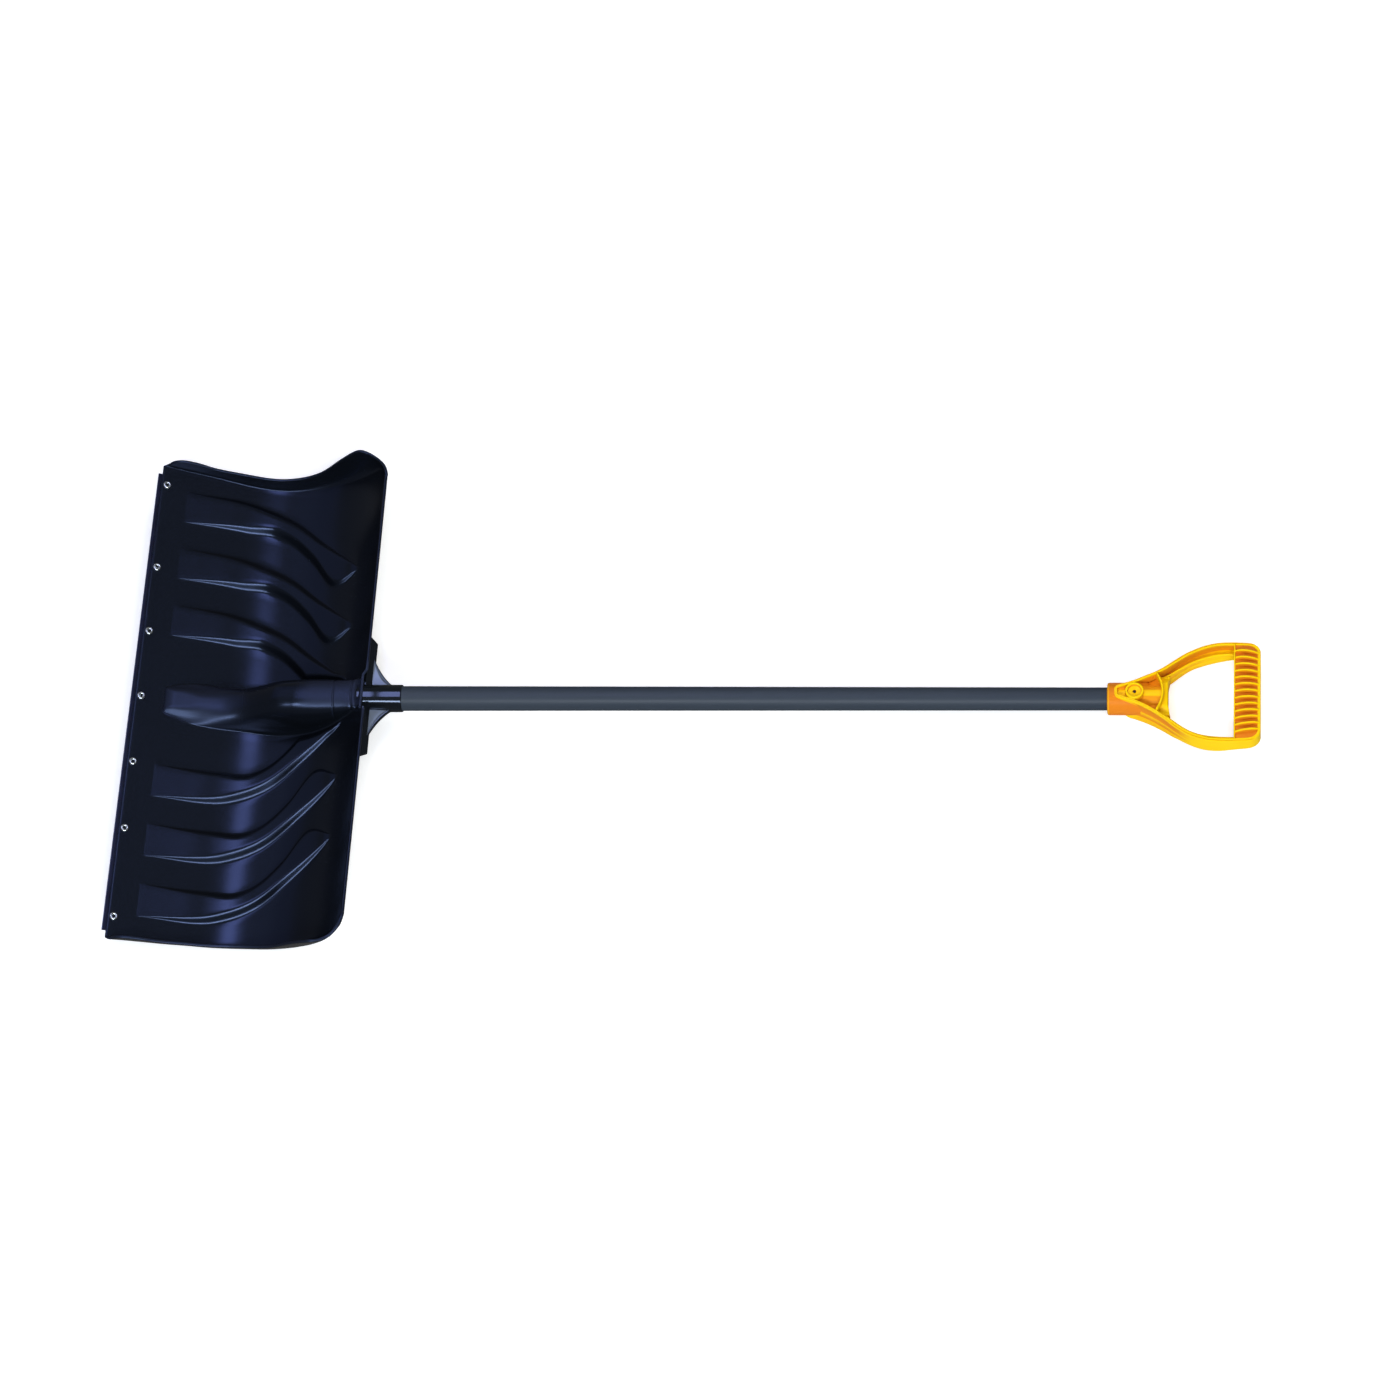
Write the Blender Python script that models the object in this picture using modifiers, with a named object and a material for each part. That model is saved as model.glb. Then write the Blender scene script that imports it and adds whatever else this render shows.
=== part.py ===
# Snow shovel of the pusher type, in metres.
# In the shovel's own frame the shaft's axis is X, with X = 0 at the mouth of the blade's socket.
# The cutting edge is towards -X, the hand grip towards +X, and the blade's hollow face towards +Z.
# At the end the whole shovel is laid on its back on the plane Z = 0.
import math

import bmesh
import bpy
import numpy as np

MM = 0.001

# Clearances
SEAT_GAP = 0.3 * MM          # between faces that touch on the real shovel
HOLE_CLEARANCE = 0.3 * MM    # on the radius of every hole, around what passes through it
WELD_DISTANCE = 0.01 * MM    # points nearer than this are one point

# Blade profile, along the hollow face from the cutting edge to the top edge
TOE_LENGTH = 126 * MM
TOE_ANGLE = math.radians(19.5)
BELLY_RADIUS = 127 * MM
TOP_ANGLE = math.radians(61)
BELLY_DROP = 39.5 * MM       # the belly's depth below the shaft's axis
TOP_EDGE_BACK = 41 * MM      # from the top edge to the socket's mouth
BLADE_WALL = 3.5 * MM

# Blade plan and end lips
BLADE_WIDTH = 616 * MM
END_FLARE = 12 * MM          # each end widens by this much towards the top corners
FLARE_START = 150 * MM       # distances from the cutting edge, along the face
FLARE_LENGTH = 80 * MM
CORNER_RADIUS = 42 * MM
# Lip height and lip width at distances from the top edge, along the face
LIP_HEIGHT = ((0, 0), (35 * MM, 26 * MM), (62 * MM, 36 * MM), (81 * MM, 33 * MM), (116 * MM, 23 * MM),
              (157 * MM, 15 * MM), (240 * MM, 8 * MM))
LIP_WIDTH = ((0, 18 * MM), (81 * MM, 18 * MM), (116 * MM, 12 * MM), (157 * MM, 8 * MM),
             (240 * MM, 7 * MM))
LIP_RAMP = 60 * MM           # the lip grows from nothing over this distance from the cutting edge
LIP_BEND_OUT = 0.4           # the lip's middle edge, as shares of its width and height
LIP_BEND_UP = 0.3

# Raised ribs, three on each side of the middle
RIBS_PER_SIDE = 3
RIB_MARGIN = 29 * MM         # from the blade's end to the first rib
RIB_PITCH = 76.5 * MM
RIB_WALL_RUN = 0.58          # run of a rib's wall for each unit of its height
# Distance from the cutting edge along the face, with the shift of each edge towards the middle
RIB_OUTER_EDGE = ((32 * MM, 0), (125 * MM, 14 * MM), (166 * MM, 33 * MM), (207 * MM, 66 * MM),
                  (257 * MM, 101 * MM))
RIB_INNER_EDGE = ((32 * MM, 41 * MM), (108 * MM, 36 * MM), (145 * MM, 37 * MM), (167 * MM, 49 * MM),
                  (193 * MM, 75 * MM), (222 * MM, 112 * MM), (257 * MM, 106 * MM))
RIB_HEIGHT = ((32 * MM, 0), (57 * MM, 7.5 * MM), (95 * MM, 10.5 * MM), (130 * MM, 12.5 * MM),
              (190 * MM, 12.5 * MM), (225 * MM, 8.5 * MM), (257 * MM, 0))
RIB_ROOT_GAP = 2 * MM        # least plan distance between a rib and what lies inside it

# Fairing over the shaft's end
SOCKET_DEPTH = 135 * MM      # of shaft inside the socket
FAIRING_WALL = 3.7 * MM      # over the shaft
# Drop of its crest, and how far its foot lies outside the shaft, at distances from the socket's mouth
FAIRING_DROP = ((SOCKET_DEPTH + 11 * MM, 0), (SOCKET_DEPTH + 30 * MM, 12 * MM),
                (SOCKET_DEPTH + 55 * MM, 24 * MM), (236 * MM, 23 * MM), (276 * MM, 16 * MM))
FAIRING_FOOT = ((41 * MM, 3.5 * MM), (60 * MM, 6.5 * MM), (100 * MM, 13.5 * MM), (140 * MM, 14.5 * MM),
                (190 * MM, 10.5 * MM), (262 * MM, 9.5 * MM), (276 * MM, 5.5 * MM))
FAIRING_LENGTH = 281 * MM    # from the mouth to the fairing's rounded front end
FAIRING_NOSE = 9 * MM        # over which the front end rounds down to the face
FAIRING_STEPS = 6            # facets from its crest to its foot

# Blade mesh
TOE_ROWS = 12
BELLY_ROWS = 17

# Socket behind the blade's top edge
SOCKET_WALL = 2.4 * MM
COLLAR_WALL = 1.5 * MM
COLLAR_LENGTH = 52 * MM
FLANGE_HALF_WIDTH = 77 * MM
FLANGE_FRONT = 33 * MM       # from the mouth to the flange's near face
FLANGE_LENGTH = 19 * MM
FLANGE_HEIGHT = 17 * MM
FLANGE_TUCK = 1.2 * MM       # its top lies this far under the hollow face, at its far end
FLANGE_BEVEL = 3 * MM
GUSSET_REACH = 49 * MM       # out from the axis, along the flange
GUSSET_LENGTH = 20 * MM      # along the collar
GUSSET_THICKNESS = 3 * MM
GUSSET_STEPS = 8

# Wear strip and its rivets
STRIP_LENGTH = 600 * MM
STRIP_WIDTH = 38 * MM
STRIP_THICKNESS = 1.6 * MM
STRIP_OVERHANG = 4.5 * MM
RIVETS_PER_SIDE = 3
RIVET_PITCH = 85.8 * MM
RIVET_END_MARGIN = 16.5 * MM  # from the strip's end to the last rivet
RIVET_SETBACK = 7 * MM       # from the plastic edge to the rivet's axis
RIVET_SHANK = 2.4 * MM       # radii
RIVET_BORE = 1.7 * MM
RIVET_HEAD = 4.8 * MM
RIVET_HEAD_THICKNESS = 1.3 * MM
RIVET_HEAD_BEVEL = 0.6 * MM
RIVET_ROLL_HEIGHT = 1.8 * MM

# Shaft, its plug and its screw
SHAFT_LOWER_RADIUS = 14.5 * MM
SHAFT_UPPER_RADIUS = 13.0 * MM
SHAFT_WALL = 1.2 * MM
SHAFT_SHOWN = 809.5 * MM     # from the socket's mouth to the grip's mouth
SHAFT_RINGS = 9              # along its length
GRIP_DEPTH = 50 * MM         # of shaft inside the grip
PLUG_LENGTH = 58 * MM
PLUG_HEAD = 3 * MM
SCREW_POSITION = 104 * MM    # from the socket's mouth
SCREW_SHANK = 2.1 * MM
SCREW_HEAD = 4.6 * MM
SCREW_HEAD_HEIGHT = 3 * MM
SCREW_LENGTH = 17 * MM

# Hand grip, a D with a flat front and a back that comes forward towards its bar
GRIP_LENGTH = 172.9 * MM
GRIP_WIDTH = 127 * MM
GRIP_FRONT = 20.5 * MM       # above the shaft's axis
# Depth of its back below the axis, at distances from the grip's mouth
GRIP_BACK = ((8 * MM, 17.5 * MM), (62 * MM, 17.8 * MM), (82 * MM, 16.5 * MM), (104 * MM, 13.5 * MM),
             (128 * MM, 7.8 * MM), (148 * MM, 5 * MM), (173 * MM, 2 * MM))
GRIP_EDGE = 1.5 * MM
BAR_THICKNESS = 30.5 * MM
BAR_CROWN = 3.5 * MM         # height of the arch along the bar's front
CROWN_STEPS = 8
ARM_THICKNESS = 9.5 * MM
HAND_GAP = 73.5 * MM
GRIP_COLLAR_WALL = 5.2 * MM
GRIP_COLLAR_END = 12 * MM    # of collar past the shaft's end
ARM_ROOT = 8.4 * MM          # from the grip's mouth to the rounded end where its arms meet
ROOT_HALF_WIDTH = 3 * MM     # of that end
SPRING_BACK = 15 * MM        # from the grip's mouth to where an arm springs from the end
SPRING_HALF_WIDTH = 8.9 * MM
ARM_SPRING = 0.27            # rise of an arm for each unit of its run, where it springs
ARM_REACH = 0.5              # handles of the arms' curves, as shares of their run
GAP_REACH = 0.15             # handles of the opening's curves, as shares of its length
GAP_RISE = 0.5
THROAT_HALF_WIDTH = 12.7 * MM  # flat part of the hand's opening towards the shaft
SHOULDER_BACK = 30 * MM      # from the grip's end to its widest place
BAR_CORNER = 13.5 * MM
BAR_TUCK = 0.5 * MM          # by which the widest place is wider than the bar's corners
SLOT_MARGIN = 10.5 * MM      # from the grip's side to the first slot
SLOT_PITCH = 8.6 * MM
SLOT_RIB = 2.4 * MM
SLOT_DEPTH = 7 * MM
SLOT_WALL = 3 * MM
POCKET_END = 59.5 * MM       # from the grip's mouth to the far end of the pocket around the boss
POCKET_FLOOR = 15.5 * MM     # above the shaft's axis
POCKET_HALF_WIDTH = 21 * MM  # at its far corners
POCKET_ROUND = 5.5 * MM      # of its far end
POCKET_SPREAD = 0.54         # widening of the pocket for each unit of its run, at its far corners
RIM_WIDTH = 3.4 * MM
BOSS_POSITION = 31 * MM      # from the grip's mouth
BOSS_RADIUS = 10.5 * MM
BOSS_RISE = 2.8 * MM         # over the collar
BOSS_BEVEL = 1.2 * MM
PIN_RADIUS = 1.5 * MM
PIN_BEVEL = 0.4 * MM
PIN_SUNK = 2.6 * MM          # below the boss

# Fineness of round shapes
SHAFT_FACETS = 40
SMALL_FACETS = 20
ROUND_STEPS = 4
CURVE_STEPS = 9
ROUND_HANDLE = 0.55          # length of a curve's handle for a quarter round, as a share of its radius
SHARP_ANGLE = math.radians(35)

# Places that follow from the sizes
PROFILE_LENGTH = TOE_LENGTH + BELLY_RADIUS * (TOE_ANGLE + TOP_ANGLE)
BELLY_X = -TOP_EDGE_BACK - BELLY_RADIUS * math.sin(TOP_ANGLE)
SHAFT_START = -SOCKET_DEPTH
SHAFT_END = SHAFT_SHOWN + GRIP_DEPTH
GRIP_END = SHAFT_SHOWN + GRIP_LENGTH
GRIP_COLLAR_RADIUS = SHAFT_UPPER_RADIUS + HOLE_CLEARANCE + GRIP_COLLAR_WALL

# Colours as the surfaces look in daylight, with roughness and metallic values
BLADE_PLASTIC = ("blade_plastic", (0.0055, 0.0072, 0.0170), 0.42, 0.0)
STRIP_STEEL = ("strip_steel", (0.075, 0.085, 0.130), 0.35, 1.0)
RIVET_ZINC = ("rivet_zinc", (0.72, 0.74, 0.74), 0.25, 1.0)
SHAFT_GREY = ("shaft_grey", (0.0545, 0.0685, 0.0887), 0.45, 0.0)
PLUG_BLACK = ("plug_black", (0.012, 0.012, 0.013), 0.60, 0.0)
SCREW_ZINC = ("screw_zinc", (0.62, 0.63, 0.64), 0.35, 1.0)
GRIP_YELLOW = ("grip_yellow", (0.930, 0.480, 0.006), 0.38, 0.0)
PIN_STEEL = ("pin_steel", (0.250, 0.240, 0.230), 0.45, 1.0)


def clear_scene():
    for obj in list(bpy.data.objects):
        bpy.data.objects.remove(obj)


def new_collection(name):
    collection = bpy.data.collections.new(name)
    bpy.context.scene.collection.children.link(collection)
    return collection


def finish_material(finish):
    name, colour, roughness, metallic = finish
    material = bpy.data.materials.new(name)
    material.use_nodes = True
    shader = material.node_tree.nodes["Principled BSDF"]
    shader.inputs["Base Color"].default_value = (*colour, 1.0)
    shader.inputs["Roughness"].default_value = roughness
    shader.inputs["Metallic"].default_value = metallic
    return material


def smooth_path(points, at):
    # Smooth curve through (station, value) points, level beyond its two ends.
    station, value = np.array(points, dtype=float).T
    slope = np.gradient(value, station)
    at = np.clip(at, station[0], station[-1])
    i = np.clip(np.searchsorted(station, at) - 1, 0, len(station) - 2)
    step = station[i + 1] - station[i]
    t = (at - station[i]) / step
    start = (1 + 2 * t) * (1 - t) ** 2 * value[i] + t * (1 - t) ** 2 * step * slope[i]
    end = t * t * (3 - 2 * t) * value[i + 1] - t * t * (1 - t) * step * slope[i + 1]
    return start + end


def ease(t):
    # Smooth step from 0 to 1.
    t = np.clip(t, 0, 1)
    return t * t * (3 - 2 * t)


def shaft_radius(x):
    # The shaft tapers evenly from its lower end to its upper end.
    t = (x - SHAFT_START) / (SHAFT_END - SHAFT_START)
    return SHAFT_LOWER_RADIUS + (SHAFT_UPPER_RADIUS - SHAFT_LOWER_RADIUS) * t


def face_point(distance):
    # Point of the blade's hollow face at a distance along it from the cutting edge.
    on_toe = np.maximum(TOE_LENGTH - distance, 0)
    turn = np.maximum(distance - TOE_LENGTH, 0) / BELLY_RADIUS - TOE_ANGLE
    x = BELLY_X + BELLY_RADIUS * np.sin(turn) - on_toe * math.cos(TOE_ANGLE)
    z = -BELLY_DROP + BELLY_RADIUS * (1 - np.cos(turn)) + on_toe * math.sin(TOE_ANGLE)
    return x, z


def toe_place(setback, depth):
    # Place on the toe's middle line, set back from the plastic edge, at a depth under its face.
    x, z = face_point(np.array([setback]))
    return (x[0] - depth * math.sin(TOE_ANGLE), 0, z[0] - depth * math.cos(TOE_ANGLE))


class Shop:
    # Holds the collections and the empty that carries every piece.
    def __init__(self, name):
        self.parts = new_collection(name)
        self.tools = new_collection(name + "_cutters")
        self.carrier = bpy.data.objects.new(name + "_frame", None)
        self.parts.objects.link(self.carrier)

    def mesh_object(self, name, mesh):
        obj = bpy.data.objects.new(name, mesh)
        self.tools.objects.link(obj)
        obj.hide_render = True
        obj.display_type = "WIRE"
        return obj

    def keep(self, obj, finish):
        # Turns a working object into a piece of the shovel.
        self.tools.objects.unlink(obj)
        self.parts.objects.link(obj)
        obj.hide_render = False
        obj.display_type = "TEXTURED"
        obj.parent = self.carrier
        obj.data.materials.clear()
        obj.data.materials.append(finish_material(finish))
        obj.data.shade_smooth()
        obj.data.set_sharp_from_angle(angle=SHARP_ANGLE)
        return obj

    def turned(self, name, profile, facets, closed=False):
        # Shape turned about its own Z axis, from (radius, height) points down its outer side.
        mesh = bpy.data.meshes.new(name)
        count = len(profile)
        edges = [(i, i + 1) for i in range(count - 1)]
        if closed:
            edges.append((count - 1, 0))
        mesh.from_pydata([(radius, 0, height) for radius, height in profile], edges, [])
        obj = self.mesh_object(name, mesh)
        screw = obj.modifiers.new("turn", "SCREW")
        screw.steps = screw.render_steps = facets
        screw.use_merge_vertices = True
        screw.merge_threshold = WELD_DISTANCE
        return obj

    def along_shaft(self, obj):
        # Lays an object's own Z axis along the shaft.
        obj.rotation_euler = (0, math.pi / 2, 0)
        return obj

    def rod(self, name, start, end, start_radius, end_radius, facets=SHAFT_FACETS):
        # Solid rod or cone along the shaft's axis.
        profile = [(0, end), (end_radius, end), (start_radius, start), (0, start)]
        return self.along_shaft(self.turned(name, profile, facets))

    def block(self, name, low, high, bevel=0.0):
        mesh = bpy.data.meshes.new(name)
        shape = bmesh.new()
        bmesh.ops.create_cube(shape, size=1)
        for vert in shape.verts:
            vert.co = [a + (b - a) * (c + 0.5) for a, b, c in zip(low, high, vert.co)]
        shape.to_mesh(mesh)
        shape.free()
        obj = self.mesh_object(name, mesh)
        if bevel:
            rounded = obj.modifiers.new("edges", "BEVEL")
            rounded.width = bevel
            rounded.segments = 1
        return obj

    def plate(self, name, outlines, half_thickness, edge=0.0, steps=1):
        # Flat plate in the plane Z = 0, from closed outlines of (point, left handle, right handle).
        curve = bpy.data.curves.new(name, "CURVE")
        curve.dimensions = "2D"
        curve.fill_mode = "BOTH"
        curve.extrude = half_thickness - edge
        curve.bevel_depth = edge
        curve.bevel_resolution = 1
        curve.offset = -edge
        curve.resolution_u = steps
        for outline in outlines:
            spline = curve.splines.new("BEZIER")
            spline.bezier_points.add(len(outline) - 1)
            spline.use_cyclic_u = True
            for knot, (point, left, right) in zip(spline.bezier_points, outline):
                knot.handle_left_type = knot.handle_right_type = "FREE"
                knot.co = (*point, 0)
                knot.handle_left = (*left, 0)
                knot.handle_right = (*right, 0)
        return self.curve_to_mesh(name, curve)

    def curve_to_mesh(self, name, curve):
        # Closed mesh of a curve, with its loose caps welded.
        drawn = bpy.data.objects.new(name, curve)
        self.tools.objects.link(drawn)
        graph = bpy.context.evaluated_depsgraph_get()
        mesh = bpy.data.meshes.new_from_object(drawn.evaluated_get(graph))
        bpy.data.objects.remove(drawn)
        shape = bmesh.new()
        shape.from_mesh(mesh)
        bmesh.ops.remove_doubles(shape, verts=shape.verts, dist=WELD_DISTANCE)
        bmesh.ops.recalc_face_normals(shape, faces=shape.faces)
        shape.to_mesh(mesh)
        shape.free()
        return self.mesh_object(name, mesh)


def combine(obj, tool, operation):
    # Adds or takes away another shape, then welds the slivers along the cut.
    modifier = obj.modifiers.new(tool.name, "BOOLEAN")
    modifier.operation = operation
    modifier.object = tool
    weld = obj.modifiers.new(tool.name + "_weld", "WELD")
    weld.merge_threshold = WELD_DISTANCE


def rib_edges(distance, number, foot):
    # Plan positions of a rib's inner and outer top edges, and its height, number 0 at the blade's end.
    start = BLADE_WIDTH / 2 - RIB_MARGIN - number * RIB_PITCH
    height = smooth_path(RIB_HEIGHT, distance)
    run = np.maximum(RIB_WALL_RUN * height, RIB_ROOT_GAP)
    inner = start - smooth_path(RIB_INNER_EDGE, distance)
    inner = np.maximum(inner, foot + RIB_ROOT_GAP + run)
    outer = start - smooth_path(RIB_OUTER_EDGE, distance)
    outer = np.maximum(outer, inner + RIB_ROOT_GAP)
    return inner, outer, height, run


def blade_half_grid():
    # Rows along the profile and columns across half the width. The columns follow the fairing, the
    # ribs' edges and the end lip, so that each of them has its own edge loops.
    toe = np.linspace(0, TOE_LENGTH, TOE_ROWS)
    belly = np.linspace(TOE_LENGTH, PROFILE_LENGTH, BELLY_ROWS)
    distance = np.concatenate([toe, belly[1:]])
    x, z = face_point(distance)
    columns = []

    # Fairing: a half ellipse that stands on the face
    back = -x
    crest = SHAFT_LOWER_RADIUS + FAIRING_WALL - smooth_path(FAIRING_DROP, back)
    nose = np.sqrt(np.clip((FAIRING_LENGTH - back) / FAIRING_NOSE, 0, 1))
    rise = np.maximum(crest - z, 0) * nose
    foot = SHAFT_LOWER_RADIUS + smooth_path(FAIRING_FOOT, back)
    for angle in np.linspace(0, math.pi / 2, FAIRING_STEPS):
        columns.append((foot * math.sin(angle), z + rise * math.cos(angle)))

    # Ribs, from the middle of the blade outwards
    inside = foot
    for number in reversed(range(RIBS_PER_SIDE)):
        inner, outer, height, run = rib_edges(distance, number, inside)
        columns.append((inner - run, z))
        columns.append((inner, z + height))
        columns.append((outer, z + height))
        columns.append((outer + run, z))
        inside = outer + run

    # End lip, with the top corner rounded in plan
    from_top = PROFILE_LENGTH - distance
    past_corner = np.clip(x + TOP_EDGE_BACK + CORNER_RADIUS, 0, CORNER_RADIUS)
    corner = CORNER_RADIUS - np.sqrt(CORNER_RADIUS ** 2 - past_corner ** 2)
    edge = BLADE_WIDTH / 2 + END_FLARE * ease((distance - FLARE_START) / FLARE_LENGTH) - corner
    lip = smooth_path(LIP_HEIGHT, from_top) * ease(distance / LIP_RAMP)
    width = smooth_path(LIP_WIDTH, from_top)
    columns.append((edge - width, z))
    columns.append((edge - width * (1 - LIP_BEND_OUT), z + lip * LIP_BEND_UP))
    columns.append((edge, z + lip))

    across = np.array([y for y, _ in columns])
    heights = np.array([h for _, h in columns])
    along = np.broadcast_to(x, across.shape)
    return np.stack([along, across, heights], axis=-1)


def make_blade_shell(shop):
    points = blade_half_grid()
    columns, rows = points.shape[:2]
    mesh = bpy.data.meshes.new("blade")
    shape = bmesh.new()
    bmesh.ops.create_grid(shape, x_segments=rows - 1, y_segments=columns - 1, size=1)
    shape.to_mesh(mesh)
    shape.free()
    mesh.vertices.foreach_set("co", points.reshape(-1))
    obj = shop.mesh_object("blade", mesh)
    mirror = obj.modifiers.new("other_half", "MIRROR")
    mirror.use_axis = (False, True, False)
    mirror.merge_threshold = WELD_DISTANCE
    wall = obj.modifiers.new("wall", "SOLIDIFY")
    wall.thickness = BLADE_WALL
    wall.offset = -1
    wall.use_even_offset = True
    return obj


def gusset_outline(side):
    # Right-angled web between the collar and the flange, with a hollow long edge.
    inside = SHAFT_LOWER_RADIUS
    root = -FLANGE_FRONT - FLANGE_LENGTH / 2
    reach = GUSSET_REACH
    tip = -FLANGE_FRONT + GUSSET_LENGTH
    corner = SHAFT_LOWER_RADIUS + COLLAR_WALL
    points = [(root, inside), (tip, inside)]
    for i in range(GUSSET_STEPS + 1):
        angle = math.pi / 2 * i / GUSSET_STEPS
        along = tip - GUSSET_LENGTH * math.sin(angle)
        out = reach - (reach - corner) * math.cos(angle)
        points.append((along, out))
    points.append((root, reach))
    return [((x, side * y), (x, side * y), (x, side * y)) for x, y in points]


def make_flange(shop):
    # Cross bar that carries the sheet's back, just under the hollow face.
    far = -FLANGE_FRONT - FLANGE_LENGTH
    face = -BELLY_DROP + BELLY_RADIUS - math.sqrt(BELLY_RADIUS ** 2 - (far - BELLY_X) ** 2)
    top = face - FLANGE_TUCK
    low = (far, -FLANGE_HALF_WIDTH, top - FLANGE_HEIGHT)
    high = (-FLANGE_FRONT, FLANGE_HALF_WIDTH, top)
    return shop.block("socket_flange", low, high, FLANGE_BEVEL)


def shaft_bore(shop, name, start, end):
    # Cutter that follows the shaft's taper with clearance all round.
    return shop.rod(name, start, end, shaft_radius(start) + HOLE_CLEARANCE,
                    shaft_radius(end) + HOLE_CLEARANCE)


def make_blade(shop):
    blade = make_blade_shell(shop)
    floor = SHAFT_START - PLUG_HEAD - 2 * SEAT_GAP
    tube = SHAFT_LOWER_RADIUS + SOCKET_WALL
    combine(blade, shop.rod("socket_tube", floor - SOCKET_WALL, -COLLAR_LENGTH, tube, tube), "UNION")
    collar = SHAFT_LOWER_RADIUS + COLLAR_WALL
    mouth = shaft_radius(0) + COLLAR_WALL
    combine(blade, shop.rod("socket_collar", -COLLAR_LENGTH - SEAT_GAP, 0, collar, mouth), "UNION")
    combine(blade, make_flange(shop), "UNION")
    for side, name in ((1, "gusset_left"), (-1, "gusset_right")):
        gusset = shop.plate(name, [gusset_outline(side)], GUSSET_THICKNESS / 2)
        combine(blade, gusset, "UNION")

    combine(blade, shaft_bore(shop, "socket_bore", floor, SEAT_GAP), "DIFFERENCE")
    combine(blade, screw_hole(shop, "socket_screw_hole"), "DIFFERENCE")
    for number, y in enumerate(rivet_places(), start=1):
        combine(blade, rivet_hole(shop, f"blade_hole_{number}", y), "DIFFERENCE")
    return shop.keep(blade, BLADE_PLASTIC)


def rivet_places():
    # Distances of the rivets across the blade, the middle one on the shaft's line.
    outer = STRIP_LENGTH / 2 - RIVET_END_MARGIN
    half = [RIVET_PITCH * i for i in range(1, RIVETS_PER_SIDE)] + [outer]
    return half[::-1] + [0] + [-y for y in half]


def rivet_hole(shop, name, y):
    radius = RIVET_SHANK + HOLE_CLEARANCE
    reach = BLADE_WALL + STRIP_THICKNESS
    profile = [(0, reach), (radius, reach), (radius, -2 * reach), (0, -2 * reach)]
    hole = shop.turned(name, profile, SMALL_FACETS)
    x, _, z = toe_place(RIVET_SETBACK, 0)
    hole.location = (x, y, z)
    hole.rotation_euler = (0, TOE_ANGLE, 0)
    return hole


def make_wear_strip(shop):
    # Lies against the back of the toe and stands past its edge.
    low = (-STRIP_OVERHANG, -STRIP_LENGTH / 2, -STRIP_THICKNESS)
    high = (STRIP_WIDTH - STRIP_OVERHANG, STRIP_LENGTH / 2, 0)
    strip = shop.block("wear_strip", low, high)
    strip.location = toe_place(0, BLADE_WALL + SEAT_GAP)
    strip.rotation_euler = (0, TOE_ANGLE, 0)
    for number, y in enumerate(rivet_places(), start=1):
        combine(strip, rivet_hole(shop, f"strip_hole_{number}", y), "DIFFERENCE")
    return shop.keep(strip, STRIP_STEEL)


def make_rivets(shop):
    # Tubular rivets: a rolled rim on the blade's face, a flat head against the strip.
    seat = SEAT_GAP
    back = -(BLADE_WALL + STRIP_THICKNESS + 2 * SEAT_GAP)
    middle = (RIVET_BORE + RIVET_HEAD) / 2
    half = (RIVET_HEAD - RIVET_BORE) / 2
    turns = [math.pi * i / (2 * ROUND_STEPS) for i in range(2 * ROUND_STEPS + 1)]
    roll = [(middle - half * math.cos(a), seat + RIVET_ROLL_HEIGHT * math.sin(a)) for a in turns]
    profile = [
        (0, back),
        (RIVET_BORE, back),
        *roll,
        (RIVET_SHANK, seat),
        (RIVET_SHANK, back),
        (RIVET_HEAD, back),
        (RIVET_HEAD, back - RIVET_HEAD_THICKNESS + RIVET_HEAD_BEVEL),
        (RIVET_HEAD - RIVET_HEAD_BEVEL, back - RIVET_HEAD_THICKNESS),
        (0, back - RIVET_HEAD_THICKNESS),
    ]
    x, _, z = toe_place(RIVET_SETBACK, 0)
    for number, y in enumerate(rivet_places(), start=1):
        rivet = shop.turned(f"rivet_{number}", profile, SMALL_FACETS)
        rivet.location = (x, y, z)
        rivet.rotation_euler = (0, TOE_ANGLE, 0)
        shop.keep(rivet, RIVET_ZINC)


def make_shaft(shop):
    rings = np.linspace(SHAFT_END, SHAFT_START, SHAFT_RINGS)
    outside = [(shaft_radius(x), x) for x in rings]
    inside = [(radius - SHAFT_WALL, x) for radius, x in reversed(outside)]
    shaft = shop.along_shaft(shop.turned("shaft", outside + inside, SHAFT_FACETS, closed=True))
    combine(shaft, screw_hole(shop, "shaft_screw_hole"), "DIFFERENCE")
    combine(shaft, pin_hole(shop, "shaft_pin_hole"), "DIFFERENCE")
    return shop.keep(shaft, SHAFT_GREY)


def make_shaft_plug(shop):
    # Fills the shaft's lower end, with a head that closes the tube.
    body = shaft_radius(SHAFT_START + PLUG_LENGTH) - SHAFT_WALL - SEAT_GAP
    seat = SHAFT_START - SEAT_GAP
    profile = [
        (0, SHAFT_START + PLUG_LENGTH),
        (body - PLUG_HEAD, SHAFT_START + PLUG_LENGTH),
        (body, SHAFT_START + PLUG_LENGTH - PLUG_HEAD),
        (body, seat),
        (SHAFT_LOWER_RADIUS, seat),
        (SHAFT_LOWER_RADIUS, seat - PLUG_HEAD),
        (0, seat - PLUG_HEAD),
    ]
    plug = shop.along_shaft(shop.turned("shaft_plug", profile, SHAFT_FACETS))
    combine(plug, screw_hole(shop, "plug_screw_hole"), "DIFFERENCE")
    return shop.keep(plug, PLUG_BLACK)


def screw_seat():
    # Height of the screw head's underside, behind the socket tube.
    return SHAFT_LOWER_RADIUS + SOCKET_WALL + SEAT_GAP


def from_behind(obj):
    # Points an object's own Z axis backwards, at the screw's place.
    obj.location = (-SCREW_POSITION, 0, 0)
    obj.rotation_euler = (math.pi, 0, 0)
    return obj


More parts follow.
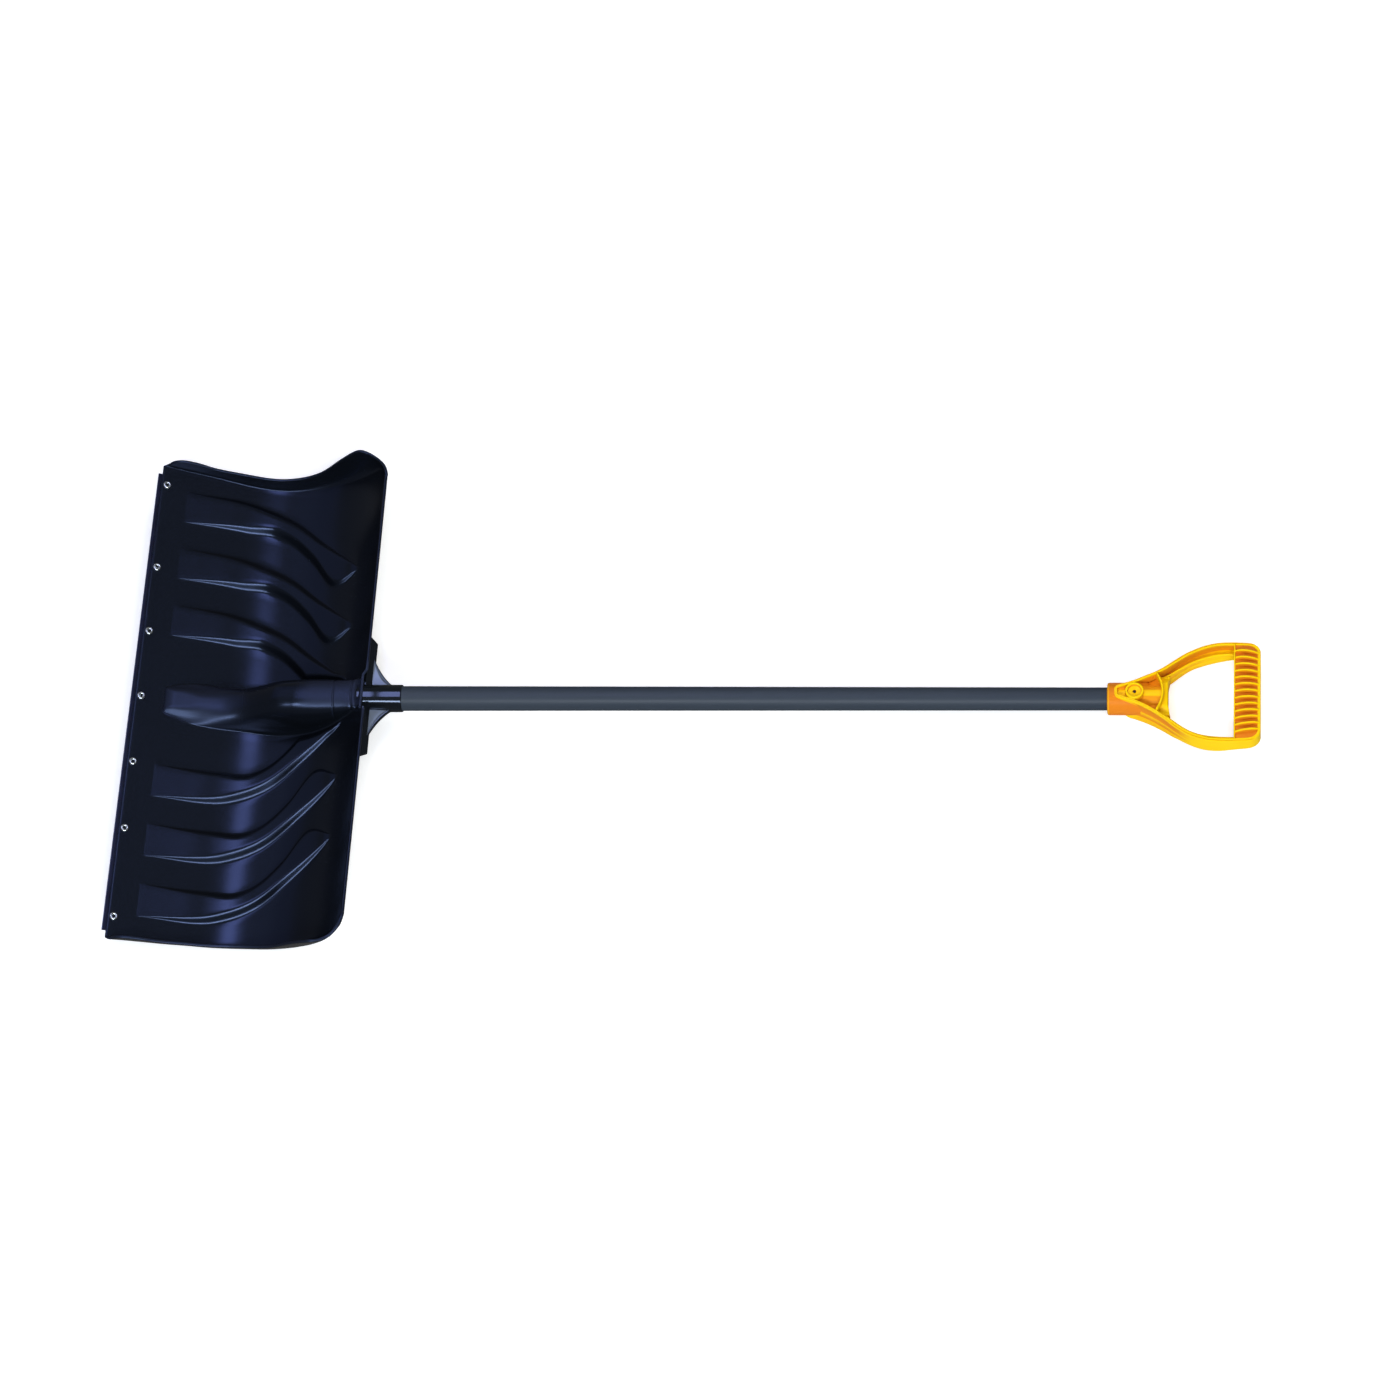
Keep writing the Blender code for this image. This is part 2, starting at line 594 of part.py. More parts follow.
def screw_hole(shop, name):
    radius = SCREW_SHANK + HOLE_CLEARANCE
    top = screw_seat() + SCREW_HEAD_HEIGHT
    tip = screw_seat() - SCREW_LENGTH - SEAT_GAP
    profile = [(0, top), (radius, top), (radius, tip), (0, tip)]
    return from_behind(shop.turned(name, profile, SMALL_FACETS))


def make_socket_screw(shop):
    # Domed head, plain shank and pointed tip.
    seat = screw_seat()
    turns = [math.pi / 2 * i / ROUND_STEPS for i in range(ROUND_STEPS + 1)]
    dome = [(SCREW_HEAD * math.sin(a), seat + SCREW_HEAD_HEIGHT * math.cos(a)) for a in turns]
    profile = [
        *dome,
        (SCREW_SHANK, seat),
        (SCREW_SHANK, seat - SCREW_LENGTH + SCREW_SHANK),
        (0, seat - SCREW_LENGTH),
    ]
    screw = from_behind(shop.turned("socket_screw", profile, SMALL_FACETS))
    return shop.keep(screw, SCREW_ZINC)


def root_knots(inset, reach):
    # Rounded end where the two arms meet, set in by some distance, and the start of an arm's curve.
    end = SHAFT_SHOWN + ARM_ROOT + inset
    flat = ROOT_HALF_WIDTH - inset / 2
    spring_x = SHAFT_SHOWN + SPRING_BACK + inset * ARM_SPRING
    spring_y = SPRING_HALF_WIDTH - inset
    turn = (spring_x - end) * ROUND_HANDLE
    return [
        ((end, flat), (end, flat), (end, flat + (spring_y - flat) * ROUND_HANDLE)),
        ((spring_x, spring_y), (spring_x - turn, spring_y - turn * ARM_SPRING),
         (spring_x + reach, spring_y + reach * ARM_SPRING)),
    ]


def grip_outline():
    # Outer edge of the D, from its rounded end along the arm on the +Y side, round to the other arm.
    wide_x = GRIP_END - SHOULDER_BACK
    wide_y = GRIP_WIDTH / 2
    reach = (GRIP_LENGTH - SHOULDER_BACK - SPRING_BACK) * ARM_REACH
    bar_x = GRIP_END - BAR_CORNER
    bar_y = wide_y - BAR_TUCK
    corner_y = bar_y - BAR_CORNER
    handle = BAR_CORNER * ROUND_HANDLE
    half = [
        *root_knots(0, reach),
        ((wide_x, wide_y), (wide_x - reach, wide_y), (wide_x + handle, wide_y)),
        ((bar_x, bar_y), (bar_x - handle, bar_y + BAR_TUCK), (bar_x + handle, bar_y - BAR_TUCK)),
        ((GRIP_END, corner_y), (GRIP_END, corner_y + handle), (GRIP_END, corner_y)),
    ]
    return whole_outline(half)


def pocket_outline():
    # Edge of the pocket around the boss, inside the rims of the two arms.
    far = SHAFT_SHOWN + POCKET_END
    near = far - POCKET_ROUND
    side = POCKET_HALF_WIDTH
    reach = (POCKET_END - POCKET_ROUND - SPRING_BACK) / 3
    half = [
        *root_knots(RIM_WIDTH, reach),
        ((near, side), (near - reach, side - reach * POCKET_SPREAD), (far, side - POCKET_ROUND)),
        ((far, POCKET_ROUND), (far, side - POCKET_ROUND), (far, POCKET_ROUND)),
    ]
    return whole_outline(half)


def hand_gap_outline():
    # Edge of the hand's opening.
    far = GRIP_END - BAR_THICKNESS
    near = far - HAND_GAP
    top = GRIP_WIDTH / 2 - ARM_THICKNESS
    throat = (near, THROAT_HALF_WIDTH)
    corner = (far, top)
    half = [
        (throat, throat, (near, THROAT_HALF_WIDTH + HAND_GAP * GAP_RISE)),
        (corner, (far - HAND_GAP * GAP_REACH, top), corner),
    ]
    return whole_outline(half)


def whole_outline(half):
    # Adds the mirror image of half an outline, in order.
    def flipped(point):
        return (point[0], -point[1])
    other = [(flipped(point), flipped(right), flipped(left)) for point, left, right in reversed(half)]
    return half + other


def pin_place(obj):
    # Turned by half a facet, so that no corner of the round falls on a facet's edge of the collar.
    obj.location = (SHAFT_SHOWN + BOSS_POSITION, 0, 0)
    obj.rotation_euler = (0, 0, math.pi / SMALL_FACETS)
    return obj


def boss_top():
    return GRIP_COLLAR_RADIUS + BOSS_RISE


def pin_hole(shop, name):
    radius = PIN_RADIUS + HOLE_CLEARANCE
    top = boss_top() + BOSS_RISE
    profile = [(0, top), (radius, top), (radius, -top), (0, -top)]
    return pin_place(shop.turned(name, profile, SMALL_FACETS))


def make_grip_pin(shop):
    top = boss_top() - PIN_SUNK
    bottom = -GRIP_COLLAR_RADIUS + PIN_SUNK
    profile = [
        (0, top),
        (PIN_RADIUS - PIN_BEVEL, top),
        (PIN_RADIUS, top - PIN_BEVEL),
        (PIN_RADIUS, bottom + PIN_BEVEL),
        (PIN_RADIUS - PIN_BEVEL, bottom),
        (0, bottom),
    ]
    pin = pin_place(shop.turned("grip_pin", profile, SMALL_FACETS))
    return shop.keep(pin, PIN_STEEL)


def make_boss(shop):
    # Round boss on the collar's front, around the pin.
    top = boss_top()
    profile = [
        (0, top),
        (BOSS_RADIUS - BOSS_BEVEL, top),
        (BOSS_RADIUS, top - BOSS_BEVEL),
        (BOSS_RADIUS, 0),
        (0, 0),
    ]
    return pin_place(shop.turned("grip_boss", profile, SHAFT_FACETS))


def make_slots(shop):
    # Pockets across the front of the bar, as many as its length takes.
    low_x = GRIP_END - BAR_THICKNESS + SLOT_WALL
    high_x = GRIP_END - SLOT_WALL
    half = (SLOT_PITCH - SLOT_RIB) / 2
    count = int((GRIP_WIDTH - 2 * SLOT_MARGIN + SLOT_RIB) / SLOT_PITCH)
    slots = []
    for number in range(count):
        y = (number - (count - 1) / 2) * SLOT_PITCH
        low = (low_x, y - half, GRIP_FRONT - SLOT_DEPTH)
        high = (high_x, y + half, GRIP_FRONT + SLOT_DEPTH)
        slots.append(shop.block(f"slot_{number + 1}", low, high))
    return slots


def make_bar_crown(shop):
    # Low arch along the bar's front, drawn in the plane of X and Z.
    half = BAR_THICKNESS / 2 - GRIP_EDGE
    middle = GRIP_END - BAR_THICKNESS / 2
    root = GRIP_FRONT - BAR_CROWN
    points = [(middle - half, root), (middle + half, root)]
    for i in range(CROWN_STEPS + 1):
        angle = math.pi * i / CROWN_STEPS
        points.append((middle + half * math.cos(angle), GRIP_FRONT - SEAT_GAP + BAR_CROWN * math.sin(angle)))
    length = GRIP_WIDTH / 2 - SLOT_MARGIN
    crown = shop.plate("bar_crown", [[(point, point, point) for point in points]], length)
    crown.rotation_euler = (math.pi / 2, 0, 0)
    return crown


def bring_back_forward(plate):
    # Moves the plate's back half to the depth that the grip has at each place.
    points = np.empty(len(plate.data.vertices) * 3)
    plate.data.vertices.foreach_get("co", points)
    points = points.reshape(-1, 3)
    back = smooth_path(GRIP_BACK, points[:, 0] - SHAFT_SHOWN)
    points[:, 2] *= np.where(points[:, 2] < 0, back / GRIP_FRONT, 1)
    plate.data.vertices.foreach_set("co", points.reshape(-1))


def make_pocket(shop):
    # Cutter for the pocket around the boss.
    pocket = shop.plate("grip_pocket", [pocket_outline()], GRIP_FRONT / 2, steps=CURVE_STEPS)
    pocket.location = (0, 0, POCKET_FLOOR + GRIP_FRONT / 2)
    return pocket


def make_d_grip(shop):
    outlines = [grip_outline(), hand_gap_outline()]
    grip = shop.plate("d_grip", outlines, GRIP_FRONT, GRIP_EDGE, CURVE_STEPS)
    bring_back_forward(grip)
    collar_end = SHAFT_END + GRIP_COLLAR_END
    radius = GRIP_COLLAR_RADIUS
    combine(grip, shop.rod("grip_collar", SHAFT_SHOWN, collar_end, radius, radius), "UNION")
    combine(grip, make_bar_crown(shop), "UNION")
    combine(grip, make_pocket(shop), "DIFFERENCE")
    combine(grip, make_boss(shop), "UNION")
    bore = shaft_bore(shop, "grip_bore", SHAFT_SHOWN - SEAT_GAP, SHAFT_END + SEAT_GAP)
    combine(grip, bore, "DIFFERENCE")
    combine(grip, pin_hole(shop, "grip_pin_hole"), "DIFFERENCE")
    for slot in make_slots(shop):
        combine(grip, slot, "DIFFERENCE")
    return shop.keep(grip, GRIP_YELLOW)


def world_points(obj):
    graph = bpy.context.evaluated_depsgraph_get()
    shown = obj.evaluated_get(graph)
    mesh = shown.to_mesh()
    points = np.empty(len(mesh.vertices) * 3)
    mesh.vertices.foreach_get("co", points)
    turn = np.array(shown.matrix_world)
    shown.to_mesh_clear()
    return points.reshape(-1, 3) @ turn[:3, :3].T + turn[:3, 3]


def lay_down(shop, blade, grip):
    # Tilts the shovel until the belly and the grip lie on one level, and stands it on Z = 0, with the
    # middle of its length over the origin.
    bpy.context.view_layer.update()
    belly = world_points(blade)
    hand = world_points(grip)
    run = hand[:, None, 0] - belly[None, :, 0]
    rise = hand[:, None, 2] - belly[None, :, 2]
    tilt = math.atan((rise / run).max(axis=1).min())
    shop.carrier.rotation_euler = (0, tilt, 0)
    bpy.context.view_layer.update()
    pieces = [obj for obj in shop.parts.objects if obj.type == "MESH"]
    points = np.concatenate([world_points(obj) for obj in pieces])
    low = points.min(axis=0)
    high = points.max(axis=0)
    shop.carrier.location = (-(low[0] + high[0]) / 2, 0, -low[2])
    bpy.context.view_layer.update()


def main():
    clear_scene()
    shop = Shop("snow_shovel")
    blade = make_blade(shop)
    make_wear_strip(shop)
    make_rivets(shop)
    make_shaft(shop)
    make_shaft_plug(shop)
    make_socket_screw(shop)
    grip = make_d_grip(shop)
    make_grip_pin(shop)
    for tool in shop.tools.objects:
        tool.parent = shop.carrier
    lay_down(shop, blade, grip)


main()
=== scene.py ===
import math

import bmesh
import bpy
import numpy as np
from mathutils import Matrix


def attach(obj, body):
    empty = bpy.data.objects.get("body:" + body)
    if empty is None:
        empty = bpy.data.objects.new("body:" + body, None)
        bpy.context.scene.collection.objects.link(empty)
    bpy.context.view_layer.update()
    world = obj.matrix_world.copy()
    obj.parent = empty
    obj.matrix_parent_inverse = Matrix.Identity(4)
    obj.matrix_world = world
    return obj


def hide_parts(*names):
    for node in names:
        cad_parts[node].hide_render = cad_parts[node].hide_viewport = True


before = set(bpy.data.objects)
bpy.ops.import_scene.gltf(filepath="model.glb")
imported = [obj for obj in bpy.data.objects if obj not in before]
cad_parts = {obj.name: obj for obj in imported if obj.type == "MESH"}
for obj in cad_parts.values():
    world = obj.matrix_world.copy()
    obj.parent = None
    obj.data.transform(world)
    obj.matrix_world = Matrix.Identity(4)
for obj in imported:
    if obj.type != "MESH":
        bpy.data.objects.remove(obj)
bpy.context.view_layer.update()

scene = bpy.context.scene

# Shapes are worked out in millimetres in the shovel's own frame: the shaft is on X, with X = 0 at the
# mouth of the blade's socket, and the hollow face is up. The shovel then lies back on belly and grip.
rest = {"tilt": 0.024023015, "shift": (-331.7639, 0.0, 39.4287)}
otherSide = np.array([1, -1, 1])  # mirrors a shape across the shaft


def toRow(points):
    # turn about Y by the tilt, move, and go from millimetres to metres
    x, y, z = np.moveaxis(np.asarray(points, float), -1, 0)
    c, s = math.cos(rest["tilt"]), math.sin(rest["tilt"])
    return (np.stack([x * c + z * s, y, z * c - x * s], -1) + rest["shift"]) * 0.001


def ease(t):
    # 3t^2 - 2t^3 between 0 and 1
    t = np.clip(t, 0, 1)
    return t * t * (3 - 2 * t)


def easeFrom(value, start, run):
    # eases from 0 at start to 1 at start + run, where run may be below 0
    return ease((value - start) / run)


def through(points, at):
    # cubic Hermite curve through (place, value) points, level beyond its ends
    place, value = np.array(points, float).T
    slope = np.gradient(value, place)
    at = np.clip(at, place[0], place[-1])
    i = np.clip(np.searchsorted(place, at) - 1, 0, len(place) - 2)
    step = place[i + 1] - place[i]
    t = (at - place[i]) / step
    low = (1 + 2 * t) * (1 - t) ** 2 * value[i] + t * (1 - t) ** 2 * step * slope[i]
    return low + t * t * (3 - 2 * t) * value[i + 1] - t * t * (1 - t) * step * slope[i + 1]


def straight(points, at):
    # straight lines through (place, value) points
    return np.interp(at, *np.transpose(points))


def bezier(knots, steps):
    # cubic pieces between (point, handle before, handle after) knots, steps points in each
    runs = []
    for (a, _, ah), (b, bh, _), count in zip(knots, knots[1:], steps):
        t = np.linspace(0, 1, count, endpoint=False)[:, None]
        a, ah, bh, b = (np.array(p, float) for p in (a, ah, bh, b))
        runs.append((1 - t) ** 3 * a + 3 * t * (1 - t) ** 2 * ah + 3 * t * t * (1 - t) * bh + t ** 3 * b)
    return np.concatenate(runs + [np.array([knots[-1][0]], float)])


def roundCorners(corners, radius, steps=4, most=0.45):
    # every corner of a closed outline becomes a short parabola between points cut back along its sides,
    # by the radius, or by most of a side where the side is short
    before = np.roll(corners, 1, axis=-2) - corners
    after = np.roll(corners, -1, axis=-2) - corners
    radius = np.broadcast_to(radius, corners.shape[:-1])[..., None]
    runBefore = np.linalg.norm(before, axis=-1, keepdims=True) + 1e-9
    runAfter = np.linalg.norm(after, axis=-1, keepdims=True) + 1e-9
    a = corners + before / runBefore * np.minimum(radius, most * runBefore)
    b = corners + after / runAfter * np.minimum(radius, most * runAfter)
    t = np.linspace(0, 1, steps)[:, None]
    arcs = (1 - t) ** 2 * a[..., None, :] + 2 * t * (1 - t) * corners[..., None, :] + t * t * b[..., None, :]
    return arcs.reshape(*corners.shape[:-2], -1, corners.shape[-1])


def shares(count):
    # even shares of a stretch up to 1, without its start
    return np.linspace(0, 1, count + 1)[1:]


def ringAngles(count):
    return np.linspace(0, 2 * math.pi, count, endpoint=False)


def stack(*parts):
    # joins plain numbers and arrays of one shape as the last axis
    return np.stack(np.broadcast_arrays(*[np.asarray(p, float) for p in parts]), -1)


def outline(*corners):
    # corners of (n, z) numbers or arrays, and any tones after them, make one outline for each station
    size = max(np.size(v) for corner in corners for v in corner[:2])
    return np.stack([np.broadcast_to(stack(*corner[:2]), (size, 2)) for corner in corners], 1)


def tones(corners, place=2, steps=4):
    # each corner's share of the third colour, painted shade on the grip and painted highlight on the gussets,
    # for all the points that round it
    return np.repeat([float(corner[place]) for corner in corners], steps)


def capped(sections):
    # closes a tube of sections with a fan to the middle of its first and last one
    first = np.broadcast_to(sections[:1].mean(axis=1, keepdims=True), sections[:1].shape)
    last = np.broadcast_to(sections[-1:].mean(axis=1, keepdims=True), sections[-1:].shape)
    return np.concatenate([first, sections, last])


def turned(profile, segments=96):
    # (along, radius) points carried round the X axis: (x, r cos v, r sin v)
    along, radius = np.array(profile, float).T[..., None]
    v = ringAngles(segments)
    return stack(along, radius * np.cos(v), radius * np.sin(v))


def spun(profile, middle, segments=96):
    # (radius, height) points carried round an upright line: (x + r cos v, y + r sin v, h)
    radius, height = np.array(profile, float).T[..., None]
    v = ringAngles(segments)
    return stack(middle[0] + radius * np.cos(v), middle[1] + radius * np.sin(v), height)


def arc(middle, radii, start, end, steps):
    # points of an ellipse's arc, angles in degrees
    v = np.radians(np.linspace(start, end, steps))
    return np.stack([middle[0] + radii[0] * np.cos(v), middle[1] + radii[1] * np.sin(v)], -1)


def gridFaces(rows, columns, loop, ring, start):
    # four-sided faces of a grid, joined end to end where it closes on itself
    r = np.arange(rows if loop else rows - 1)[:, None]
    c = np.arange(columns if ring else columns - 1)[None, :]
    r2, c2 = (r + 1) % rows, (c + 1) % columns
    faces = np.stack([r * columns + c, r * columns + c2, r2 * columns + c2, r2 * columns + c], -1)
    return faces.reshape(-1, 4) + start


def closeUp(mesh):
    # merges doubled points, drops slivers and turns the faces outwards
    shape = bmesh.new()
    shape.from_mesh(mesh)
    bmesh.ops.remove_doubles(shape, verts=shape.verts, dist=2e-6)
    bmesh.ops.dissolve_degenerate(shape, edges=shape.edges, dist=1e-6)
    bmesh.ops.recalc_face_normals(shape, faces=shape.faces)
    shape.to_mesh(mesh)
    shape.free()


def makePiece(name, grids, finish, stands, sharp=38):
    # grids of (points, closed along, closed round, wear and painted light) become one merged mesh with
    # outward faces
    points, faces, wearAndPaintedLight, count = [], [], [], 0
    for grid, loop, ring, *lightAndWear in grids:
        rows, columns = grid.shape[:2]
        points.append(toRow(grid).reshape(-1, 3))
        faces.append(gridFaces(rows, columns, loop, ring, count))
        wearAndPaintedLight.append(np.broadcast_to(lightAndWear[0] if lightAndWear else 0.0, (rows, columns)).reshape(-1))
        count += rows * columns
    mesh = bpy.data.meshes.new(name)
    mesh.from_pydata(np.concatenate(points).tolist(), [], np.concatenate(faces).tolist())
    # per-point share of the third colour, used for edge wear and for painted shade and painted highlights
    layer = mesh.attributes.new("wearAndPaintedLight", "FLOAT", "POINT")
    layer.data.foreach_set("value", np.concatenate(wearAndPaintedLight).astype(np.float32))
    closeUp(mesh)
    mesh.shade_smooth()
    mesh.set_sharp_from_angle(angle=math.radians(sharp))
    mesh.materials.append(finish)
    piece = bpy.data.objects.new(name, mesh)
    scene.collection.objects.link(piece)
    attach(piece, "root")
    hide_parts(stands)
    mesh.calc_loop_triangles()
    print("made", name, len(mesh.loop_triangles), "triangles")


def addNode(tree, kind, **values):
    # values go to the node's sockets of those names, or else to its own settings
    node = tree.nodes.new(kind)
    for key, value in values.items():
        if key in node.inputs:
            node.inputs[key].default_value = value
        else:
            setattr(node, key, value)
    return node


def wire(tree, source, target):
    tree.links.new(source, target)


def makeGrainGroup():
    # moulded grain: fine pits and slow flow marks, out as bump height, shade and roughness
    group = bpy.data.node_groups.new("mouldedGrain", "ShaderNodeTree")
    for way, names in (("INPUT", ("Pit Scale", "Flow Scale", "Rough Low", "Rough High")),
                       ("OUTPUT", ("Height", "Shade", "Roughness"))):
        for name in names:
            group.interface.new_socket(name=name, in_out=way, socket_type="NodeSocketFloat")
    start, end = addNode(group, "NodeGroupInput"), addNode(group, "NodeGroupOutput")
    place = addNode(group, "ShaderNodeTexCoord")
    pits = addNode(group, "ShaderNodeTexNoise", Detail=3.0, Roughness=0.6)
    flow = addNode(group, "ShaderNodeTexNoise", Detail=4.0, Roughness=0.55, Distortion=0.6)
    spread = addNode(group, "ShaderNodeMapRange", **{"From Min": 0.3, "From Max": 0.7})
    for node, key in ((pits, "Pit Scale"), (flow, "Flow Scale")):
        wire(group, place.outputs["Object"], node.inputs["Vector"])
        wire(group, start.outputs[key], node.inputs["Scale"])
    wire(group, flow.outputs["Fac"], spread.inputs["Value"])
    wire(group, start.outputs["Rough Low"], spread.inputs["To Min"])
    wire(group, start.outputs["Rough High"], spread.inputs["To Max"])
    wire(group, pits.outputs["Fac"], end.inputs["Height"])
    wire(group, flow.outputs["Fac"], end.inputs["Shade"])
    wire(group, spread.outputs["Result"], end.inputs["Roughness"])
    return group


grainGroup = makeGrainGroup()
grainDepth = 0.0002  # metres
mixSockets = {"share": 0, "first": 6, "second": 7, "result": 2}  # a Mix node's places for colours


def mixColours(tree, share, second):
    # goes to the second colour as the share nears 1, and hands back the socket of the first and the result
    mix = addNode(tree, "ShaderNodeMix", data_type="RGBA")
    wire(tree, share, mix.inputs[mixSockets["share"]])
    mix.inputs[mixSockets["second"]].default_value = (*second, 1)
    return mix.inputs[mixSockets["first"]], mix.outputs[mixSockets["result"]]


def mouldedFinish(name, look):
    # two close colours mixed by the flow marks, a fine pitted bump, and a third colour with a duller gloss
    # where the piece's wear and painted light say so: worn edges, painted shade and painted highlights
    finish = bpy.data.materials.new(name)
    finish.use_nodes = True
    tree = finish.node_tree
    shader = tree.nodes["Principled BSDF"]
    shader.inputs["Metallic"].default_value = look.get("metal", 0.0)
    shader.inputs["Specular IOR Level"].default_value = look.get("specular", 0.5)
    shader.inputs["Specular Tint"].default_value = (*look.get("specularTint", (1, 1, 1)), 1)
    grain = addNode(tree, "ShaderNodeGroup", node_tree=grainGroup)
    for key, value in (("Pit Scale", look["pits"]), ("Flow Scale", look["flow"]),
                       ("Rough Low", look["rough"][0]), ("Rough High", look["rough"][1])):
        grain.inputs[key].default_value = value
    base, marked = mixColours(tree, grain.outputs["Shade"], look["light"])
    base.default_value = (*look["dark"], 1)
    # the third colour mixed in here is edge wear on some pieces, and painted shade or a painted highlight on
    # others
    paintedLightAndWear = addNode(tree, "ShaderNodeAttribute", attribute_name="wearAndPaintedLight")
    beforePaintedLightAndWear, colour = mixColours(tree, paintedLightAndWear.outputs["Fac"], look.get("paintedLightAndWear", look["light"]))
    wire(tree, marked, beforePaintedLightAndWear)
    wire(tree, colour, shader.inputs["Base Color"])
    dull = addNode(tree, "ShaderNodeMath", operation="MULTIPLY_ADD")  # wearAndPaintedLight x wornRough + grain
    wire(tree, paintedLightAndWear.outputs["Fac"], dull.inputs[0])
    dull.inputs[1].default_value = look.get("wornRough", 0.0)
    wire(tree, grain.outputs["Roughness"], dull.inputs[2])
    wire(tree, dull.outputs["Value"], shader.inputs["Roughness"])
    bump = addNode(tree, "ShaderNodeBump", Strength=look["bump"], Distance=grainDepth)
    wire(tree, grain.outputs["Height"], bump.inputs["Height"])
    wire(tree, bump.outputs["Normal"], shader.inputs["Normal"])
    return finish


# its third colour, a lighter blue, is edge wear on the rim and a painted sheen on the fairing's crown and
# nose
navyPlastic = mouldedFinish("navyPlastic", {
    "dark": (0.0023, 0.0030, 0.0042), "light": (0.0029, 0.0038, 0.0056), "paintedLightAndWear": (0.017, 0.021, 0.040),
    "specular": 0.50, "specularTint": (0.43, 0.56, 1.0), "rough": (0.20, 0.25), "wornRough": 0.45,
    "pits": 1500, "flow": 9, "bump": 0.05})
# its third colour, a pale grey-blue, is a painted reflection on the gussets' webs
socketPlastic = mouldedFinish("socketPlastic", {
    "dark": (0.0029, 0.0038, 0.0046), "light": (0.0038, 0.0050, 0.0062), "paintedLightAndWear": (0.112, 0.132, 0.158),
    "specular": 0.62, "specularTint": (0.62, 0.74, 1.0), "rough": (0.09, 0.12),
    "pits": 1500, "flow": 9, "bump": 0.05})
# its third colour, a deep orange, is painted shade in hollows and on faces turned from the light
yellowPlastic = mouldedFinish("yellowPlastic", {
    "dark": (0.91, 0.57, 0.002), "light": (0.94, 0.63, 0.003), "paintedLightAndWear": (0.70, 0.20, 0.010),
    "specular": 0.07, "rough": (0.34, 0.44), "pits": 1800, "flow": 14, "bump": 0.04})
slateCoat = mouldedFinish("slateCoat", {
    "dark": (0.027, 0.036, 0.049), "light": (0.034, 0.044, 0.058),
    "specular": 0.22, "rough": (0.40, 0.48), "pits": 2600, "flow": 11, "bump": 0.10})
bluedSteel = mouldedFinish("bluedSteel", {
    "dark": (0.020, 0.024, 0.044), "light": (0.034, 0.040, 0.070), "paintedLightAndWear": (0.10, 0.11, 0.17), "metal": 1.0,
    "rough": (0.30, 0.42), "pits": 900, "flow": 30, "bump": 0.15})
# its third colour, near black, is painted shade inside the rivets' bore
zincPlate = mouldedFinish("zincPlate", {
    "dark": (0.62, 0.66, 0.66), "light": (0.80, 0.84, 0.84), "paintedLightAndWear": (0.02, 0.03, 0.03), "metal": 1.0,
    "rough": (0.20, 0.28), "pits": 2000, "flow": 400, "bump": 0.06})
blackPlug = mouldedFinish("blackPlug", {
    "dark": (0.010, 0.010, 0.011), "light": (0.015, 0.015, 0.016),
    "rough": (0.50, 0.62), "pits": 1500, "flow": 20, "bump": 0.12})
pinSteel = mouldedFinish("pinSteel", {
    "dark": (0.05, 0.045, 0.04), "light": (0.09, 0.085, 0.08), "metal": 1.0,
    "rough": (0.40, 0.55), "pits": 2000, "flow": 300, "bump": 0.1})
print("finishes ready")

# Along the blade, s is the distance from the cutting edge over the hollow face. Tables of (s, value) or,
# for the fairing, (distance from the socket's mouth, value) give what changes along it. Where something
# sets in or fades out, a pair is (start, run).
blade = {
    "toe": 104.0, "toeAngle": math.radians(20.2), "belly": 151.4, "topAngle": math.radians(54),
    "drop": 36.3, "topBack": 41.0, "halfWidth": 308.0, "wall": 3.5, "rim": 1.3, "rimSteps": 8,
    "rows": 128, "leastRow": 0.12, "flatSteps": 5, "leastFlat": 0.6,
    "notch": 9.0, "notchHalf": 26.0, "notchSide": 4.0, "notchRun": 22.0, "notchEnd": 1.0, "notchFrom": -80.0,
}
blade["length"] = blade["toe"] + blade["belly"] * (blade["toeAngle"] + blade["topAngle"])
blade["bellyX"] = -blade["topBack"] - blade["belly"] * math.sin(blade["topAngle"])
fairing = {
    "crest": 18.2,
    "crestDrop": ((125, 0), (146, 2.5), (168, 13), (190, 23), (236, 23.5), (258, 20), (281, 15.6)),
    "foot": ((41, 18), (60, 21), (100, 28), (140, 29), (190, 25), (262, 24), (276, 20)),
    "length": 281.0, "nose": 14.0, "noseCorner": 9.0, "noseWidth": 0.72, "noseRun": 20.0, "noseRows": 12,
    "grooves": (79.0, 58.0), "grooveDepth": 0.7, "grooveHalf": 1.3,
    "grooveRows": (-1.6, -1.0, -0.5, 0.0, 0.5, 1.0, 1.6),
    "roundPower": 2.3, "flatTop": 0.85, "flatFrom": (205.0, 60.0),
    "slope": 0.58, "slopeShare": (0.15, 0.9), "slopeFillet": 0.38,
    "sideAngle": math.radians(80), "columns": 21, "footFillet": 2.5, "footColumns": 6,
    "backDraw": 3.0, "backDrawRise": 8.0,
}
rib = {
    "count": 3, "margin": 29.0, "pitch": 76.5, "startRows": (31.2, 31.8, 32.0, 32.3, 33.0), "sideSteps": 12,
    "outer": ((32, 0), (125, 14), (166, 33), (207, 66), (257, 101)),
    "inner": ((32, 41), (108, 36), (145, 37), (167, 49), (193, 75), (222, 112), (257, 106)),
    "height": ((32, 0), (50, 1.9), (70, 4.1), (95, 6.9), (120, 8.9), (140, 9.5), (190, 9.5), (222, 7.2),
               (240, 4.6), (251, 2.6), (258, 0)),
    "run": 0.85, "leastRun": 0.3, "filletShare": 0.28, "fillet": (0.2, 2.8),
}
